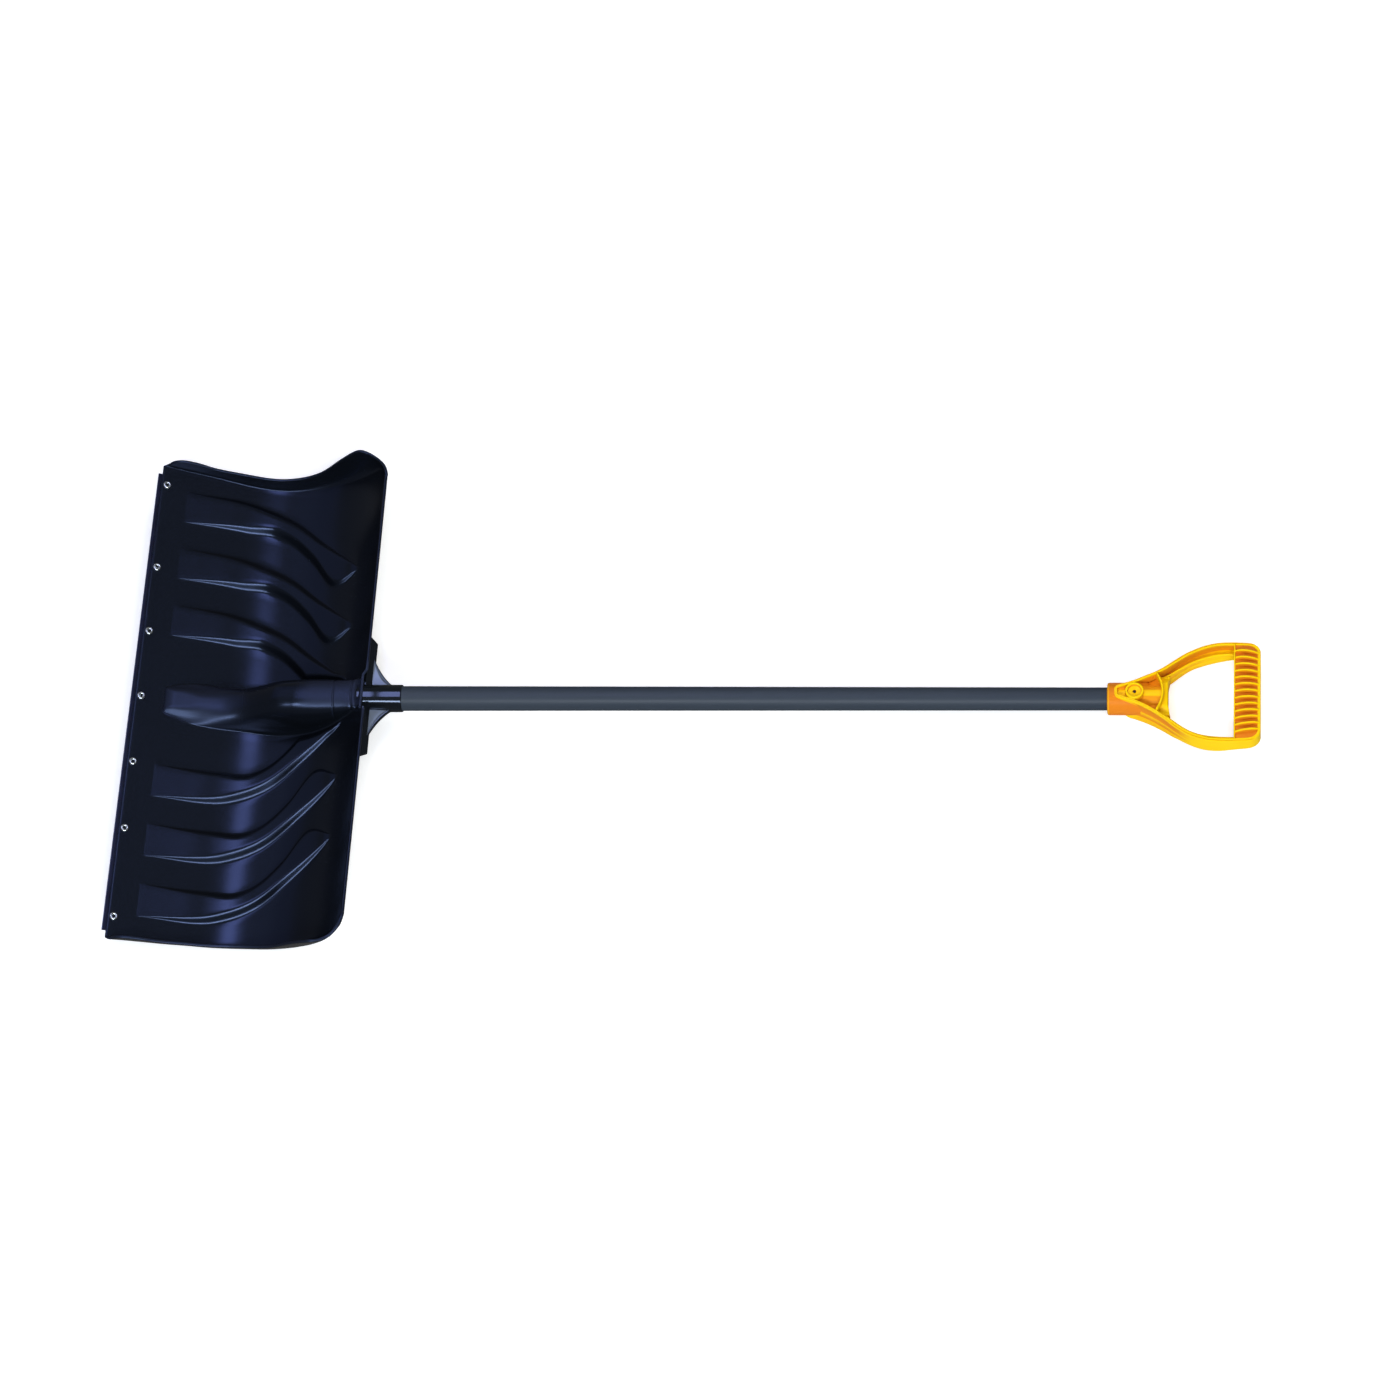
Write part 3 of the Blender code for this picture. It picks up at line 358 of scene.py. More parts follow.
lip = {
    "fold": ((0, 309), (20, 307.1), (44, 305.2), (62, 304), (105, 300), (153, 298.2), (190, 298.7),
             (226, 300.3), (256, 299.5), (300, 296)),
    "edge": ((0, 309.2), (12, 310.2), (22, 310.8), (41, 310.5), (64, 309), (106, 307), (154, 305.5),
             (193, 309.5), (224, 315), (248, 319.5), (300, 320)),
    "rise": ((0, 0), (6, 1.5), (12, 7.3), (22, 13), (41, 15.3), (64, 12.6), (106, 14.7), (154, 15.7),
             (193, 20.7), (224, 34), (240, 36), (252, 33), (264, 23), (276, 13), (288, 6), (300, 0)),
    "corner": 42.0, "leastWidth": 1.2, "bend": (0.42, 0.85), "bendFrom": (150.0, 70.0),
    "reach": 0.955, "columns": 14, "backTurn": 0.35,
}
# painted light and wear on the blade: a lighter rim as edge wear and painted highlight, and a painted sheen
# on the tube's crown and the nose
bladeWearAndSheen = {
    "rim": 0.3, "crown": 0.5, "crownEnd": (128.0, -26.0), "crownSide": (18.5, -4.0),
    "nose": 0.36, "noseFrom": (165.0, 70.0), "noseHalf": 27.0, "noseRise": 2.0,
}


def faceLine(s):
    # straight toe, then an arc: point and upward normal of the hollow face at distance s from the edge
    onToe = np.maximum(blade["toe"] - s, 0)
    turn = np.maximum(s - blade["toe"], 0) / blade["belly"] - blade["toeAngle"]
    x = blade["bellyX"] + blade["belly"] * np.sin(turn) - onToe * math.cos(blade["toeAngle"])
    z = -blade["drop"] + blade["belly"] * (1 - np.cos(turn)) + onToe * math.sin(blade["toeAngle"])
    return x, z, -np.sin(turn), np.cos(turn)


def bladeRows():
    # even steps, with closer ones at the ribs' start, the fairing's nose and the two ring grooves
    noseAt = (-fairing["length"] - float(faceLine(np.array(0.0))[0])) / math.cos(blade["toeAngle"])
    rows = [np.linspace(blade["rim"], blade["length"] - blade["rim"], blade["rows"]),
            np.array(rib["startRows"]),
            noseAt + fairing["noseRun"] * np.linspace(0, 1, fairing["noseRows"]) ** 2]
    for back in fairing["grooves"]:
        turn = math.asin((-back - blade["bellyX"]) / blade["belly"])
        at = blade["toe"] + blade["belly"] * (turn + blade["toeAngle"])
        rows.append(at + np.array(fairing["grooveRows"]))
    rows = np.sort(np.concatenate(rows))
    return rows[np.concatenate([[True], np.diff(rows) > blade["leastRow"]])]


def ramp(u, fillet):
    # S-shaped step from 0 to 1: a parabola over each fillet share, straight between them
    flat = np.clip((u - fillet / 2) / (1 - fillet), 0, 1)
    low = u * u / (2 * fillet * (1 - fillet))
    high = 1 - (1 - u) ** 2 / (2 * fillet * (1 - fillet))
    return np.where(u < fillet, low, np.where(u > 1 - fillet, high, flat))


# The columns of half the blade, from the middle outwards. Each is (y, height over the face, inward shift of
# the back, how far the back follows the true normal), and each function starts at the y where the last ended.
def fairingColumns(s, x, z):
    # q = y / foot: height (1 - q**n)**(1 / n), a little squarer than a round, and at the nose a flat top
    # with even slopes, then a parabola at its foot
    zero = np.zeros_like(s)
    back = -x
    inNose, inCorner = (np.clip((fairing["length"] - back) / fairing[key], 0, 1)
                        for key in ("nose", "noseCorner"))
    crest = fairing["crest"] - through(fairing["crestDrop"], back)
    rise = np.maximum(crest - z, 0) * np.sqrt(1 - (1 - inNose) ** 2)
    narrow = fairing["noseWidth"]
    foot = through(fairing["foot"], back) * (narrow + (1 - narrow) * np.sqrt(1 - (1 - inCorner) ** 2))
    groove = fairing["grooveDepth"] * sum(np.clip(1 - ((back - at) / fairing["grooveHalf"]) ** 2, 0, 1)
                                          for at in fairing["grooves"])
    thin = fairing["backDraw"] * easeFrom(rise, 0, fairing["backDrawRise"])
    power, low = fairing["roundPower"], fairing["sideAngle"]
    square = fairing["flatTop"] * easeFrom(back, *fairing["flatFrom"])
    share = np.clip(rise / (fairing["slope"] * foot), *fairing["slopeShare"])
    columns = []
    for v in np.linspace(0, low, fairing["columns"]):
        q = math.sin(v)
        side = 1 - ramp(np.clip((q - 1 + share) / share, 0, 1), fairing["slopeFillet"])
        dome = (1 - q ** power) ** (1 / power)
        height = (rise - groove) * (dome + (side - dome) * square)
        columns.append(((foot - groove) * q, height, thin * q, zero))
    sideY, sideHeight = foot * math.sin(low), columns[-1][1]
    footY = foot / math.sin(low)
    end = footY + fairing["footFillet"]
    for t in shares(fairing["footColumns"]):
        y = (1 - t) ** 2 * sideY + 2 * t * (1 - t) * footY + t * t * end
        columns.append((y, (1 - t) ** 2 * sideHeight, thin * (1 - t), zero))
    return columns, end


def ribColumns(s, inside):
    # for each rib a flat, its inner side, its level top and its outer side
    zero = np.zeros_like(s)
    height = through(rib["height"], s)
    fillet = np.clip(rib["filletShare"] * height, *rib["fillet"])
    run = np.maximum(rib["run"] * height, rib["leastRun"])
    wide = run + 2 * fillet
    share = 2 * fillet / wide
    flat, side = shares(blade["flatSteps"]), shares(rib["sideSteps"])
    columns = []
    for number in reversed(range(rib["count"])):
        start = blade["halfWidth"] - rib["margin"] - number * rib["pitch"]
        inner = np.maximum(start - through(rib["inner"], s), inside + run + fillet + blade["leastFlat"])
        outer = np.maximum(start - through(rib["outer"], s), inner + 2 * fillet + blade["leastFlat"])
        low = inner - run - fillet
        columns += [(inside + (low - inside) * t, zero, zero, zero) for t in flat]
        columns += [(low + wide * u, height * ramp(u, share), zero, zero) for u in side]
        columns += [(inner + fillet + (outer - inner - 2 * fillet) * t, height, zero, zero) for t in flat]
        columns += [(outer - fillet + wide * u, height * ramp(1 - u, share), zero, zero) for u in side]
        inside = outer + run + fillet
    return columns, inside


def lipColumns(s, x, inside):
    # a flat to the fold, then a parabola that goes over into a straight slope:
    # u^2 / 2b up to b, u - b / 2 past it
    zero = np.zeros_like(s)
    past = np.clip(x + blade["topBack"] + lip["corner"], 0, lip["corner"])
    corner = lip["corner"] - np.sqrt(lip["corner"] ** 2 - past ** 2)
    edge = through(lip["edge"], s) - corner
    fold = np.minimum(through(lip["fold"], s), edge - lip["leastWidth"])
    fold = np.maximum(fold, inside + blade["leastFlat"])
    rise = through(lip["rise"], s)
    toeBend, topBend = lip["bend"]
    bend = toeBend + (topBend - toeBend) * easeFrom(s, *lip["bendFrom"])
    columns = [(inside + (fold - inside) * t, zero, zero, zero) for t in shares(blade["flatSteps"])]
    for u in lip["reach"] * shares(lip["columns"]):
        slope = np.where(u < bend, u * u / (2 * bend), u - bend / 2) / (1 - bend / 2)
        columns.append((fold + (edge - fold) * u, rise * slope, zero, zero + easeFrom(u, 0, lip["backTurn"])))
    return columns


def gridNormals(points):
    # cross product of the grid's two directions, facing up
    across, along = np.gradient(points, axis=0), np.gradient(points, axis=1)
    normal = np.cross(along, across)
    normal /= np.linalg.norm(normal, axis=-1, keepdims=True) + 1e-12
    return normal * np.where(normal[..., 2:] < 0, -1, 1)


def rimAround(front, rear):
    # half a turn from the front's edge to the back's, pushed outwards; lighter all along as edge wear and
    # painted highlight, and most in the notch, where the highlight is painted
    rows, columns = front.shape[:2]
    r, c = np.arange(rows), np.arange(columns)
    loop = np.concatenate([stack(r, 0), stack(rows - 1, c[1:]), stack(r[-2::-1], columns - 1),
                           stack(0, c[-2:0:-1])]).astype(int)
    near = np.clip(loop, 1, np.array([rows - 2, columns - 2]))
    f, b = front[tuple(loop.T)], rear[tuple(loop.T)]
    half = (f - b) / 2
    out = f - front[tuple(near.T)]
    out -= half * (np.sum(out * half, -1, keepdims=True) / np.sum(half * half, -1, keepdims=True))
    out /= np.linalg.norm(out, axis=-1, keepdims=True)
    v = np.linspace(0, math.pi, blade["rimSteps"])[:, None, None]
    rim = (f + b) / 2 + half * np.cos(v) + out * blade["rim"] * np.sin(v)
    inNotch = (np.abs(f[:, 1]) < blade["notchHalf"]) & (f[:, 0] > blade["notchFrom"])
    return rim, np.sin(v[..., 0]) * (bladeWearAndSheen["rim"] + (1 - bladeWearAndSheen["rim"]) * inNotch)


def makeBladeSheet():
    # front and back skins, joined by a rounded rim that follows the whole edge
    s = bladeRows()
    x, z, _, _ = faceLine(s)
    columns, inside = fairingColumns(s, x, z)
    ribs, inside = ribColumns(s, inside)
    y, lift, thin, follow = np.moveaxis(np.array(columns + ribs + lipColumns(s, x, inside)), 1, 0)
    # the top edge is let down in the middle, where the shaft's tube comes through
    notchStart = blade["length"] - blade["notchRun"] - blade["notchEnd"]
    cut = blade["notch"] * easeFrom(y, blade["notchHalf"], -blade["notchSide"])
    x, z, nx, nz = faceLine(s - cut * easeFrom(s, notchStart, blade["notchRun"]))
    front = stack(x, y, z + lift)
    base = stack(nx, 0 * nx, nz)
    normal = base + (gridNormals(front) - base) * follow[..., None]
    normal /= np.linalg.norm(normal, axis=-1, keepdims=True)
    rear = front - blade["wall"] * normal
    rear[..., 1] -= thin
    front = np.concatenate([front[:0:-1] * otherSide, front])
    rear = np.concatenate([rear[:0:-1] * otherSide, rear])
    rim, rimWearAndHighlight = rimAround(front, rear)
    # painted sheen: the crown of the tube and the nose are lighter, with a duller gloss
    k = bladeWearAndSheen
    back, far = -front[..., 0], np.abs(front[..., 1])
    raised = np.concatenate([lift[:0:-1], lift]) * (far < k["noseHalf"])
    crown = k["crown"] * easeFrom(back, *k["crownEnd"]) * easeFrom(far, *k["crownSide"])
    nose = k["nose"] * easeFrom(back, *k["noseFrom"]) * easeFrom(raised, 0, k["noseRise"])
    skins = [(front, False, False, crown + nose), (rear, False, False), (rim, False, True, rimWearAndHighlight)]
    makePiece("bladeSheet", skins, navyPlastic, "blade", 50)


makeBladeSheet()

socket = {
    "tube": 16.9, "tubeStart": -141.0, "endRound": 1.5, "step": -52.0, "stepRound": 0.8,
    "collar": 16.0, "mouth": (-1.0, 14.9), "mouthRound": 1.0, "bore": 14.8, "floor": -138.6,
}
flange = {
    "half": 77.0, "x": (-52.0, -35.5), "z": (-1.5, 8.1), "fold": -42.5, "slant": 0.075,
    "rounds": (0.8, 1.0, 1.0, 1.4, 0.8),
}
gusset = {
    "root": (-38.0, 14.0), "half": 1.5, "bead": 2.2, "beadWide": 3.2, "beadFoot": 4.0,
    "edge": (((-13.5, 16.5), (-13.5, 16.5), (-22.8, 24.2)), ((-37.5, 51.0), (-30.8, 35.7), (-37.5, 51.0))),
    "steps": 22, "lean": 0.08, "leanFrom": -25.0,
}


def socketPiece(name, *grids):
    makePiece(name, grids, socketPlastic, "blade")


def makeSocketTube():
    # tube under the fairing, stepped down to the collar whose rounded mouth takes the shaft
    k = socket
    end, step, mouth = k["endRound"], k["stepRound"], k["mouthRound"]
    profile = np.concatenate([
        [(k["tubeStart"], 0)], arc((k["tubeStart"] + end, k["tube"] - end), (end, end), 180, 90, 5),
        arc((k["step"] - step, k["tube"] - step), (step, step), 90, 10, 4),
        [(k["step"] + 0.6, k["collar"] + 0.1), (-30, k["collar"])],
        arc(k["mouth"], (mouth, mouth), 90, -20, 6),
        [(-3, k["bore"] - 0.1), (-40, k["bore"]), (k["floor"], k["bore"]), (k["floor"], 0)]])
    socketPiece("socketTube", (turned(profile), False, True))


def makeFlange():
    # cross bar behind the top edge: a section with a sloping outer face, cut at a slant at its two ends
    y = np.concatenate([np.linspace(-1, -0.9, 8), np.linspace(-0.88, 0.88, 30), np.linspace(0.9, 1, 8)])
    y = y * flange["half"]
    low, high = flange["x"]
    bottom, top = flange["z"]
    fold = flange["fold"]
    corners = outline((low, bottom), (high + 0 * y, bottom), (high, bottom + 2.2), (fold, top - 0.5),
                      (low, top + 0.4))
    section = roundCorners(corners, np.array(flange["rounds"]), 5)
    slant = 1 - flange["slant"] * np.clip((section[..., 0] - fold) / (high - fold), 0, 1)
    grid = stack(section[..., 0], y[:, None] * slant, section[..., 1])
    socketPiece("socketFlange", (capped(grid), False, True))


def makeGussets():
    # webs between bar and collar, fanned out from a root to a beaded hollow edge, with a painted sheen that
    # makes them paler than the bead
    k = gusset
    rootX, rootY = k["root"]
    dx, dy = (bezier(k["edge"], (k["steps"],)) - k["root"]).T
    run = np.hypot(dx, dy)
    foot, inner = run - k["beadFoot"], run - k["beadWide"]
    h, b = k["half"], k["bead"]
    # the third number is the share of the painted sheen
    corners = ((0, -h, 1), (foot, -h, 1), (inner, -b, 0), (run, -b, 0),
               (run, b, 0), (inner, b, 0.5), (foot, h, 1), (0, h, 1))
    section = roundCorners(outline(*corners), 1.0)
    share = section[..., 0] / run[:, None]
    x, y = rootX + dx[:, None] * share, rootY + dy[:, None] * share
    web = capped(stack(x, y, section[..., 1] - k["lean"] * (x - k["leanFrom"])))
    paintedSheen = tones(corners)
    socketPiece("socketGussets", (web, False, True, paintedSheen), (web * otherSide, False, True, paintedSheen))


makeSocketTube()
makeFlange()
makeGussets()

strip = {"half": 300.0, "reach": (-4.5, 33.5), "top": -3.8, "thick": 1.6, "round": 0.35, "wearAndPaintedLight": (1.3, -1.0)}
rivet = {"across": (283.5, 171.6, 85.8, 0.0, -85.8, -171.6, -283.5), "setback": 7.0, "bore": 1.7}


def onToe(points):
    # (a, y, b) to (x, y, z), with a along the toe's face from the plastic edge and b above it
    a, y, b = np.moveaxis(points, -1, 0)
    x, z, _, _ = faceLine(np.array(0.0))
    c, s = math.cos(blade["toeAngle"]), math.sin(blade["toeAngle"])
    return stack(x + a * c + b * s, y, z - a * s + b * c)


def makeStrip():
    # thin section with a bevelled leading edge, carried across the blade
    top, low = strip["top"], strip["top"] - strip["thick"]
    front, back = strip["reach"]
    corners = np.array([(front, low + 0.5), (front, top - 0.3), (front + 0.8, top), (back, top), (back, low),
                        (front + 1.2, low)])
    a, b = roundCorners(corners, strip["round"]).T
    y = np.concatenate([np.linspace(-1, -0.998, 3), np.linspace(-0.99, 0.99, 61), np.linspace(0.998, 1, 3)])
    grid = capped(onToe(stack(a, y[:, None] * strip["half"], b)))
    start, run = strip["wearAndPaintedLight"]
    makePiece("wearStrip", [(grid, False, True, easeFrom(a, front + start, run))], bluedSteel,
              "wear_strip", 30)


def makeRivets():
    # tubular rivet: open bore, rolled rim on the face, domed head against the strip
    bore = rivet["bore"]
    profile = np.concatenate([
        [(0, -3.6), (bore, -3.6), (bore, 0.3)], arc((bore + 1.55, 0.3), (1.55, 1.8), 180, 0, 15)[1:],
        [(4.5, 0.1), (2.4, 0.1), (2.4, -5.7), (4.8, -5.7)], arc((4.1, -6.3), (0.7, 0.7), 0, -90, 5),
        [(0, -7.1)]])
    # painted shade inside the bore
    dark = np.clip((bore + 0.05 - profile[:, :1]) / 0.05, 0, 1)
    for number, y in enumerate(rivet["across"], start=1):
        ring = (onToe(spun(profile, (rivet["setback"], y), 48)), False, True, dark)
        makePiece(f"rivet{number}", [ring], zincPlate, f"rivet_{number}", 45)


makeStrip()
makeRivets()

shaft = {"start": -135.0, "end": 859.5, "lower": 14.5, "upper": 13.0, "wall": 1.2, "rings": 120, "sides": 128}


def makeShaft():
    # even taper from the socket to the grip, as a tube
    x = np.linspace(shaft["start"], shaft["end"], shaft["rings"])
    r = np.interp(x, (shaft["start"], shaft["end"]), (shaft["lower"], shaft["upper"]))
    profile = np.concatenate([np.stack([x, r], -1), np.stack([x[::-1], r[::-1] - shaft["wall"]], -1)])
    makePiece("shaftTube", [(turned(profile, shaft["sides"]), True, True)], slateCoat, "shaft")


makeShaft()

screw = {
    "x": -104.0, "seat": 17.2, "head": 4.6, "height": 3.0, "shank": 2.1, "length": 17.0, "rings": 22,
    "crossHalf": 0.55, "crossReach": 2.6, "crossDepth": 1.4,
}


def makeScrew():
    # domed head with a cross recess pressed into it, on a plain pointed shank
    turn = np.linspace(0, 1, screw["rings"]) * math.pi / 2
    head = np.stack([screw["head"] * np.sin(turn), screw["seat"] + screw["height"] * np.cos(turn)], -1)
    px, py, h = np.moveaxis(spun(head, (0, 0)), -1, 0)
    slots = [np.clip(1.0 - np.abs(across) / screw["crossHalf"], 0, 1) * (np.abs(along) < screw["crossReach"])
             for across, along in ((px, py), (py, px))]
    dome = stack(screw["x"] + px, py, -(h - screw["crossDepth"] * np.sqrt(np.maximum(*slots))))
    tip = screw["seat"] - screw["length"]
    below = ((screw["shank"], -screw["seat"]), (screw["shank"], -(tip + screw["shank"])), (0, -tip))
    grid = np.concatenate([dome, spun(below, (screw["x"], 0))])
    makePiece("socketScrew", [(grid, False, True)], zincPlate, "socket_screw")


makeScrew()

# The grip's edge is in (x, y), and its front and back faces in (x, z). Sections are (n, z), with n inwards
# from the edge, and their tones go from the bright front, 0, to the deep orange of shaded hollows, 1.
grip = {
    "tip": (((817.9, 3.0), (817.9, 3.0), (817.9, 6.2)), ((824.5, 8.9), (820.9, 7.9), (824.5, 8.9))),
    "side": ((824.5, 8.9), (840, 14.2), (852, 20.0), (863.6, 26.3), (874.9, 34.0), (886.1, 43.0),
             (897.3, 50.7), (908.5, 56.3), (919.8, 60.2), (931, 62.4), (947.8, 63.3), (962, 62.9)),
    "corner": (((962, 62.9), (962, 62.9), (965, 62.85)), ((969.5, 62.4), (967.5, 62.7), (976.3, 61.3)),
               ((982.3, 49.0), (982.3, 56.4), (982.3, 49.0)), ((982.3, 0.0), (982.3, 20.0), (982.3, 0.0))),
    "tipSteps": 10, "sideSteps": 46, "cornerSteps": (4, 12, 8), "barFrom": 968.0,
    "front": ((818, 20.3), (845, 20.2), (852, 19.7), (863.6, 17.9), (874.9, 16.4), (886, 15.3), (897, 15.2),
              (908.5, 15.7), (919.8, 16.8), (931, 18.0), (948, 18.7), (965, 18.7), (982, 19.2)),
    "back": ((818, -17.0), (866, -16.4), (879, -15.2), (893, -12.6), (903, -11.7), (914, -11.3), (925, -9.9),
             (937, -7.7), (948, -4.8), (965, -2.0), (982, -1.0)),
}


def gripPiece(name, *grids):
    makePiece(name, grids, yellowPlastic, "d_grip", 45)


def gripPath():
    # the D's outer edge, from its rounded end along one arm to the bar and back along the other, with
    # inward normals
    x = np.linspace(grip["side"][0][0], grip["side"][-1][0], grip["sideSteps"], endpoint=False)
    half = np.concatenate([bezier(grip["tip"], (grip["tipSteps"],))[:-1], stack(x, through(grip["side"], x)),
                           bezier(grip["corner"], grip["cornerSteps"])])
    path = np.concatenate([half, half[-2::-1] * (1, -1)])
    ahead = np.roll(path, -1, axis=0) - np.roll(path, 1, axis=0)
    ahead /= np.linalg.norm(ahead, axis=-1, keepdims=True)
    return path, np.stack([ahead[:, 1], -ahead[:, 0]], -1)


def barEnd(y):
    # x of the bar's outer edge at a distance y from its middle, rounded at the corners
    path, _ = gripPath()
    corner = path[(path[:, 0] > grip["barFrom"]) & (path[:, 1] > 0)]
    return np.interp(np.abs(y), corner[::-1, 1], corner[::-1, 0])


def carried(path, inward, section):
    # (n, z) outlines placed along a path, n inwards from it
    spot = path[:, None, :] + inward[:, None, :] * section[..., :1]
    return np.concatenate([spot, section[..., 1:]], -1)


band = {
    "wide": 3.1, "deep": 4.6, "round": 0.5, "ridgeFrom": (866.0, 22.0), "ridgeWide": 0.5, "groove": 1.2,
    "neckRound": 16.2, "neckEnd": 900.0, "neckSide": (5.0, 8.0),
    "recess": 1.1, "recessEnd": (908.0, -26.0), "recessSide": (11.0, 6.0),
    "flare": ((824, 5.5), (830, 4.6), (841, 3.4), (852, 2.4), (865, 2.0), (880, 1.2), (892, 0)),
    "flareSide": (5.0, 4.0),
}


def makeGripBand():
    # outer band of the D, all the way round: two ridges along its front with a groove between them,
    # and its outer face stepped back and flared beside the neck
    path, inward = gripPath()
    x, y = path[:, 0], np.abs(path[:, 1])
    front, back = through(grip["front"], x), through(grip["back"], x)
    over = np.sqrt(np.clip(band["neckRound"] ** 2 - y ** 2, 0, None))
    out = np.where(x > band["neckEnd"], 1.0, easeFrom(y, *band["neckSide"]))
    low = over * (1 - out) + back * out
    ridge = easeFrom(x, *band["ridgeFrom"])
    w = band["wide"]
    wide = w + band["ridgeWide"] * ridge
    beside = easeFrom(x, *band["recessEnd"]) * easeFrom(y, *band["recessSide"])
    recess = band["recess"] * beside
    flare = straight(band["flare"], x) * easeFrom(y, *band["flareSide"])
    groove = front - 0.1 - band["groove"] * ridge
    inside = np.maximum(front - band["deep"], low + 1.2)
    under = np.maximum(front - band["deep"], low + 3.0)
    deep = under - low
    # n, z, painted shade, and the painted shade that is added beside the neck
    corners = (
        (0.0, front - 0.6, 0, 0), (0.5, front - 0.1, 0, 0), (0.8, groove, 0.5, 0), (1.4, groove, 0.5, 0),
        (1.6, front, 0, 0), (wide, front, 0, 0), (wide, front - 2.6, 0.5, 0), (w, inside, 0.8, 0),
        (w, low, 0.9, 0), (0.9 - flare, low, 0.4, 0.2), (-flare, low + 0.06 * deep, 0.08, 0.25),
        (0.2 * recess - 0.75 * flare, low + 0.30 * deep, 0.06, 0.3),
        (0.7 * recess - 0.55 * flare, low + 0.36 * deep, 0.06, 0.85),
        (0.2 * recess - 0.4 * flare, low + 0.60 * deep, 0.04, 0.25),
        (0.8 * recess - 0.25 * flare, low + 0.66 * deep, 0.04, 0.9),
        (recess, under, 0.08, 0.85), (0.0, under + 0.9, 0.05, 0.1))
    grid = carried(path, inward, roundCorners(outline(*corners), band["round"]))
    # painted shade: deeper orange in the groove, on the inner side and in the recess beside the neck
    tone = np.clip(tones(corners) + tones(corners, 3) * beside[:, None], 0, 1)
    gripPiece("gripBand", (grid, True, True, tone))


arms = {
    "x": (866.0, 966.0), "drop": 10.4, "web": 2.6, "webStart": 2.3, "below": 0.3, "step": 0.55, "round": 0.6,
    "reach": ((858, 7.8), (880, 9.2), (890, 9.7), (897, 9.9), (908, 10.5), (920, 11.1), (955, 11.1)),
    "lighter": 0.85, "lighterFrom": (893.0, 45.0),
}


def makeArms():
    # web and inner flange of each arm, along the band from the pocket to the bar, with painted shade that
    # fades towards the bar
    path, inward = gripPath()
    first, last = arms["x"]
    upper = (path[:, 0] > first) & (path[:, 0] < last) & (path[:, 1] > 0)
    x = path[upper, 0]
    front, back = through(grip["front"], x), through(grip["back"], x)
    w, t = arms["webStart"], through(arms["reach"], x)
    top, low = front - arms["drop"], back - arms["below"]
    web = np.minimum((front + back) / 2, top - arms["web"])
    under = web - arms["web"]
    step = low + arms["step"] * (top - low)
    corners = ((w, web, 0.8), (t - 2.1, web, 0.7), (t - 2.0, top, 0), (t - 0.3, top - 0.2, 0.05),
               (t - 0.2, step + 0.6, 0.6), (t + 0.1, step, 0.05), (t, low, 0.4), (t - 1.8, low, 0.6),
               (t - 1.9, under, 0.8), (w, under, 0.9))
    grid = capped(carried(path[upper], inward[upper], roundCorners(outline(*corners), arms["round"])))
    lighter = 1 - arms["lighter"] * easeFrom(np.pad(x, 1, "edge"), *arms["lighterFrom"])
    tone = tones(corners) * lighter[:, None]
    gripPiece("gripArms", (grid, False, True, tone), (grid * otherSide, False, True, tone))


neck = {
    "mouth": 809.5, "bore": 13.5, "boreEnd": 840.0, "lip": 15.9, "lipRound": 2.6, "lipEnd": 812.0,
    "stations": ((813.0, 818.0, 5), (818.5, 832.0, 20), (833.0, 870.2, 30)), "collar": 18.5,
    "end": 871.0, "endCut": 0.8,
    "pocketRound": 15.2, "pocketFrom": 821.0, "pocketMargin": 0.6, "sides": 128,
    "pocketHalf": ((820.9, 0.0), (822.2, 3.2), (825, 5.2), (832, 7.4), (845, 12.0), (861, 18.8), (868, 22.5)),
}
pocketFloor = {
    "x": (846.0, 869.0), "stations": 14, "inner": 11.0, "past": 1.2, "bottom": -9.0, "top": (9.0, 6.0),
    "tone": 0.85,
}


def makeNeck():
    # collar round the shaft, cut down to a smaller round inside the pocket on its front
    k = neck
    turn = shares(6) * math.pi / 2
    runs = [np.linspace(*station) for station in k["stations"]]
    x = np.concatenate([[k["boreEnd"]], [k["mouth"]] * 4, k["mouth"] + k["lipRound"] * (1 - np.cos(turn)),
                        *runs, [k["end"]] * 2])[:, None]
    r = np.concatenate([[k["bore"]] * 3, [k["bore"] + 0.7, k["lip"]], k["lip"] + k["lipRound"] * np.sin(turn),
                        np.full(sum(map(len, runs)), k["collar"]), [k["collar"] - k["endCut"], 0.0]])[:, None]
    v = ringAngles(k["sides"])
    side, up = np.sin(v), np.cos(v)
    inPocket = ease(through(k["pocketHalf"], x) + k["pocketMargin"] - np.abs(k["collar"] * side))
    inPocket = inPocket * (up > 0) * (x > k["pocketFrom"]) * (r > k["bore"] + 3.5)
    radius = r + (k["pocketRound"] - r) * inPocket
    # deep orange painted shade, paler round the lip and on the back, and with a painted highlight along the
    # crest in the pocket
    lip = 0.4 * (r - k["lip"]) * (x < k["lipEnd"]) / k["lipRound"]
    tone = np.clip(1.0 - lip - 0.35 * easeFrom(up, -0.45, -0.4), 0, 1)
    tone = tone + inPocket * (0.80 - 0.62 * easeFrom(up, 0.955, 0.025) - tone)
    tone[:2] = ((0.9,), (0.6,))
    gripPiece("gripNeck", (stack(x, radius * side, radius * up), False, True, tone))


def makePocketFloor():
    # from the neck out to each rim, sloping down a little
    x = np.linspace(*pocketFloor["x"], pocketFloor["stations"])
    inner, low = pocketFloor["inner"], pocketFloor["bottom"]
    innerTop, outerTop = pocketFloor["top"]
    outer = np.maximum(through(neck["pocketHalf"], x) + pocketFloor["past"], inner + 0.6)
    grid = capped(np.stack([stack(x, inner, low), stack(x, outer, low), stack(x, outer, outerTop),
                            stack(x, inner, innerTop)], 1))
    # painted shade: the pocket's floor is deep orange all over
    tone = pocketFloor["tone"]
    gripPiece("gripPocketFloor", (grid, False, True, tone), (grid * otherSide, False, True, tone))


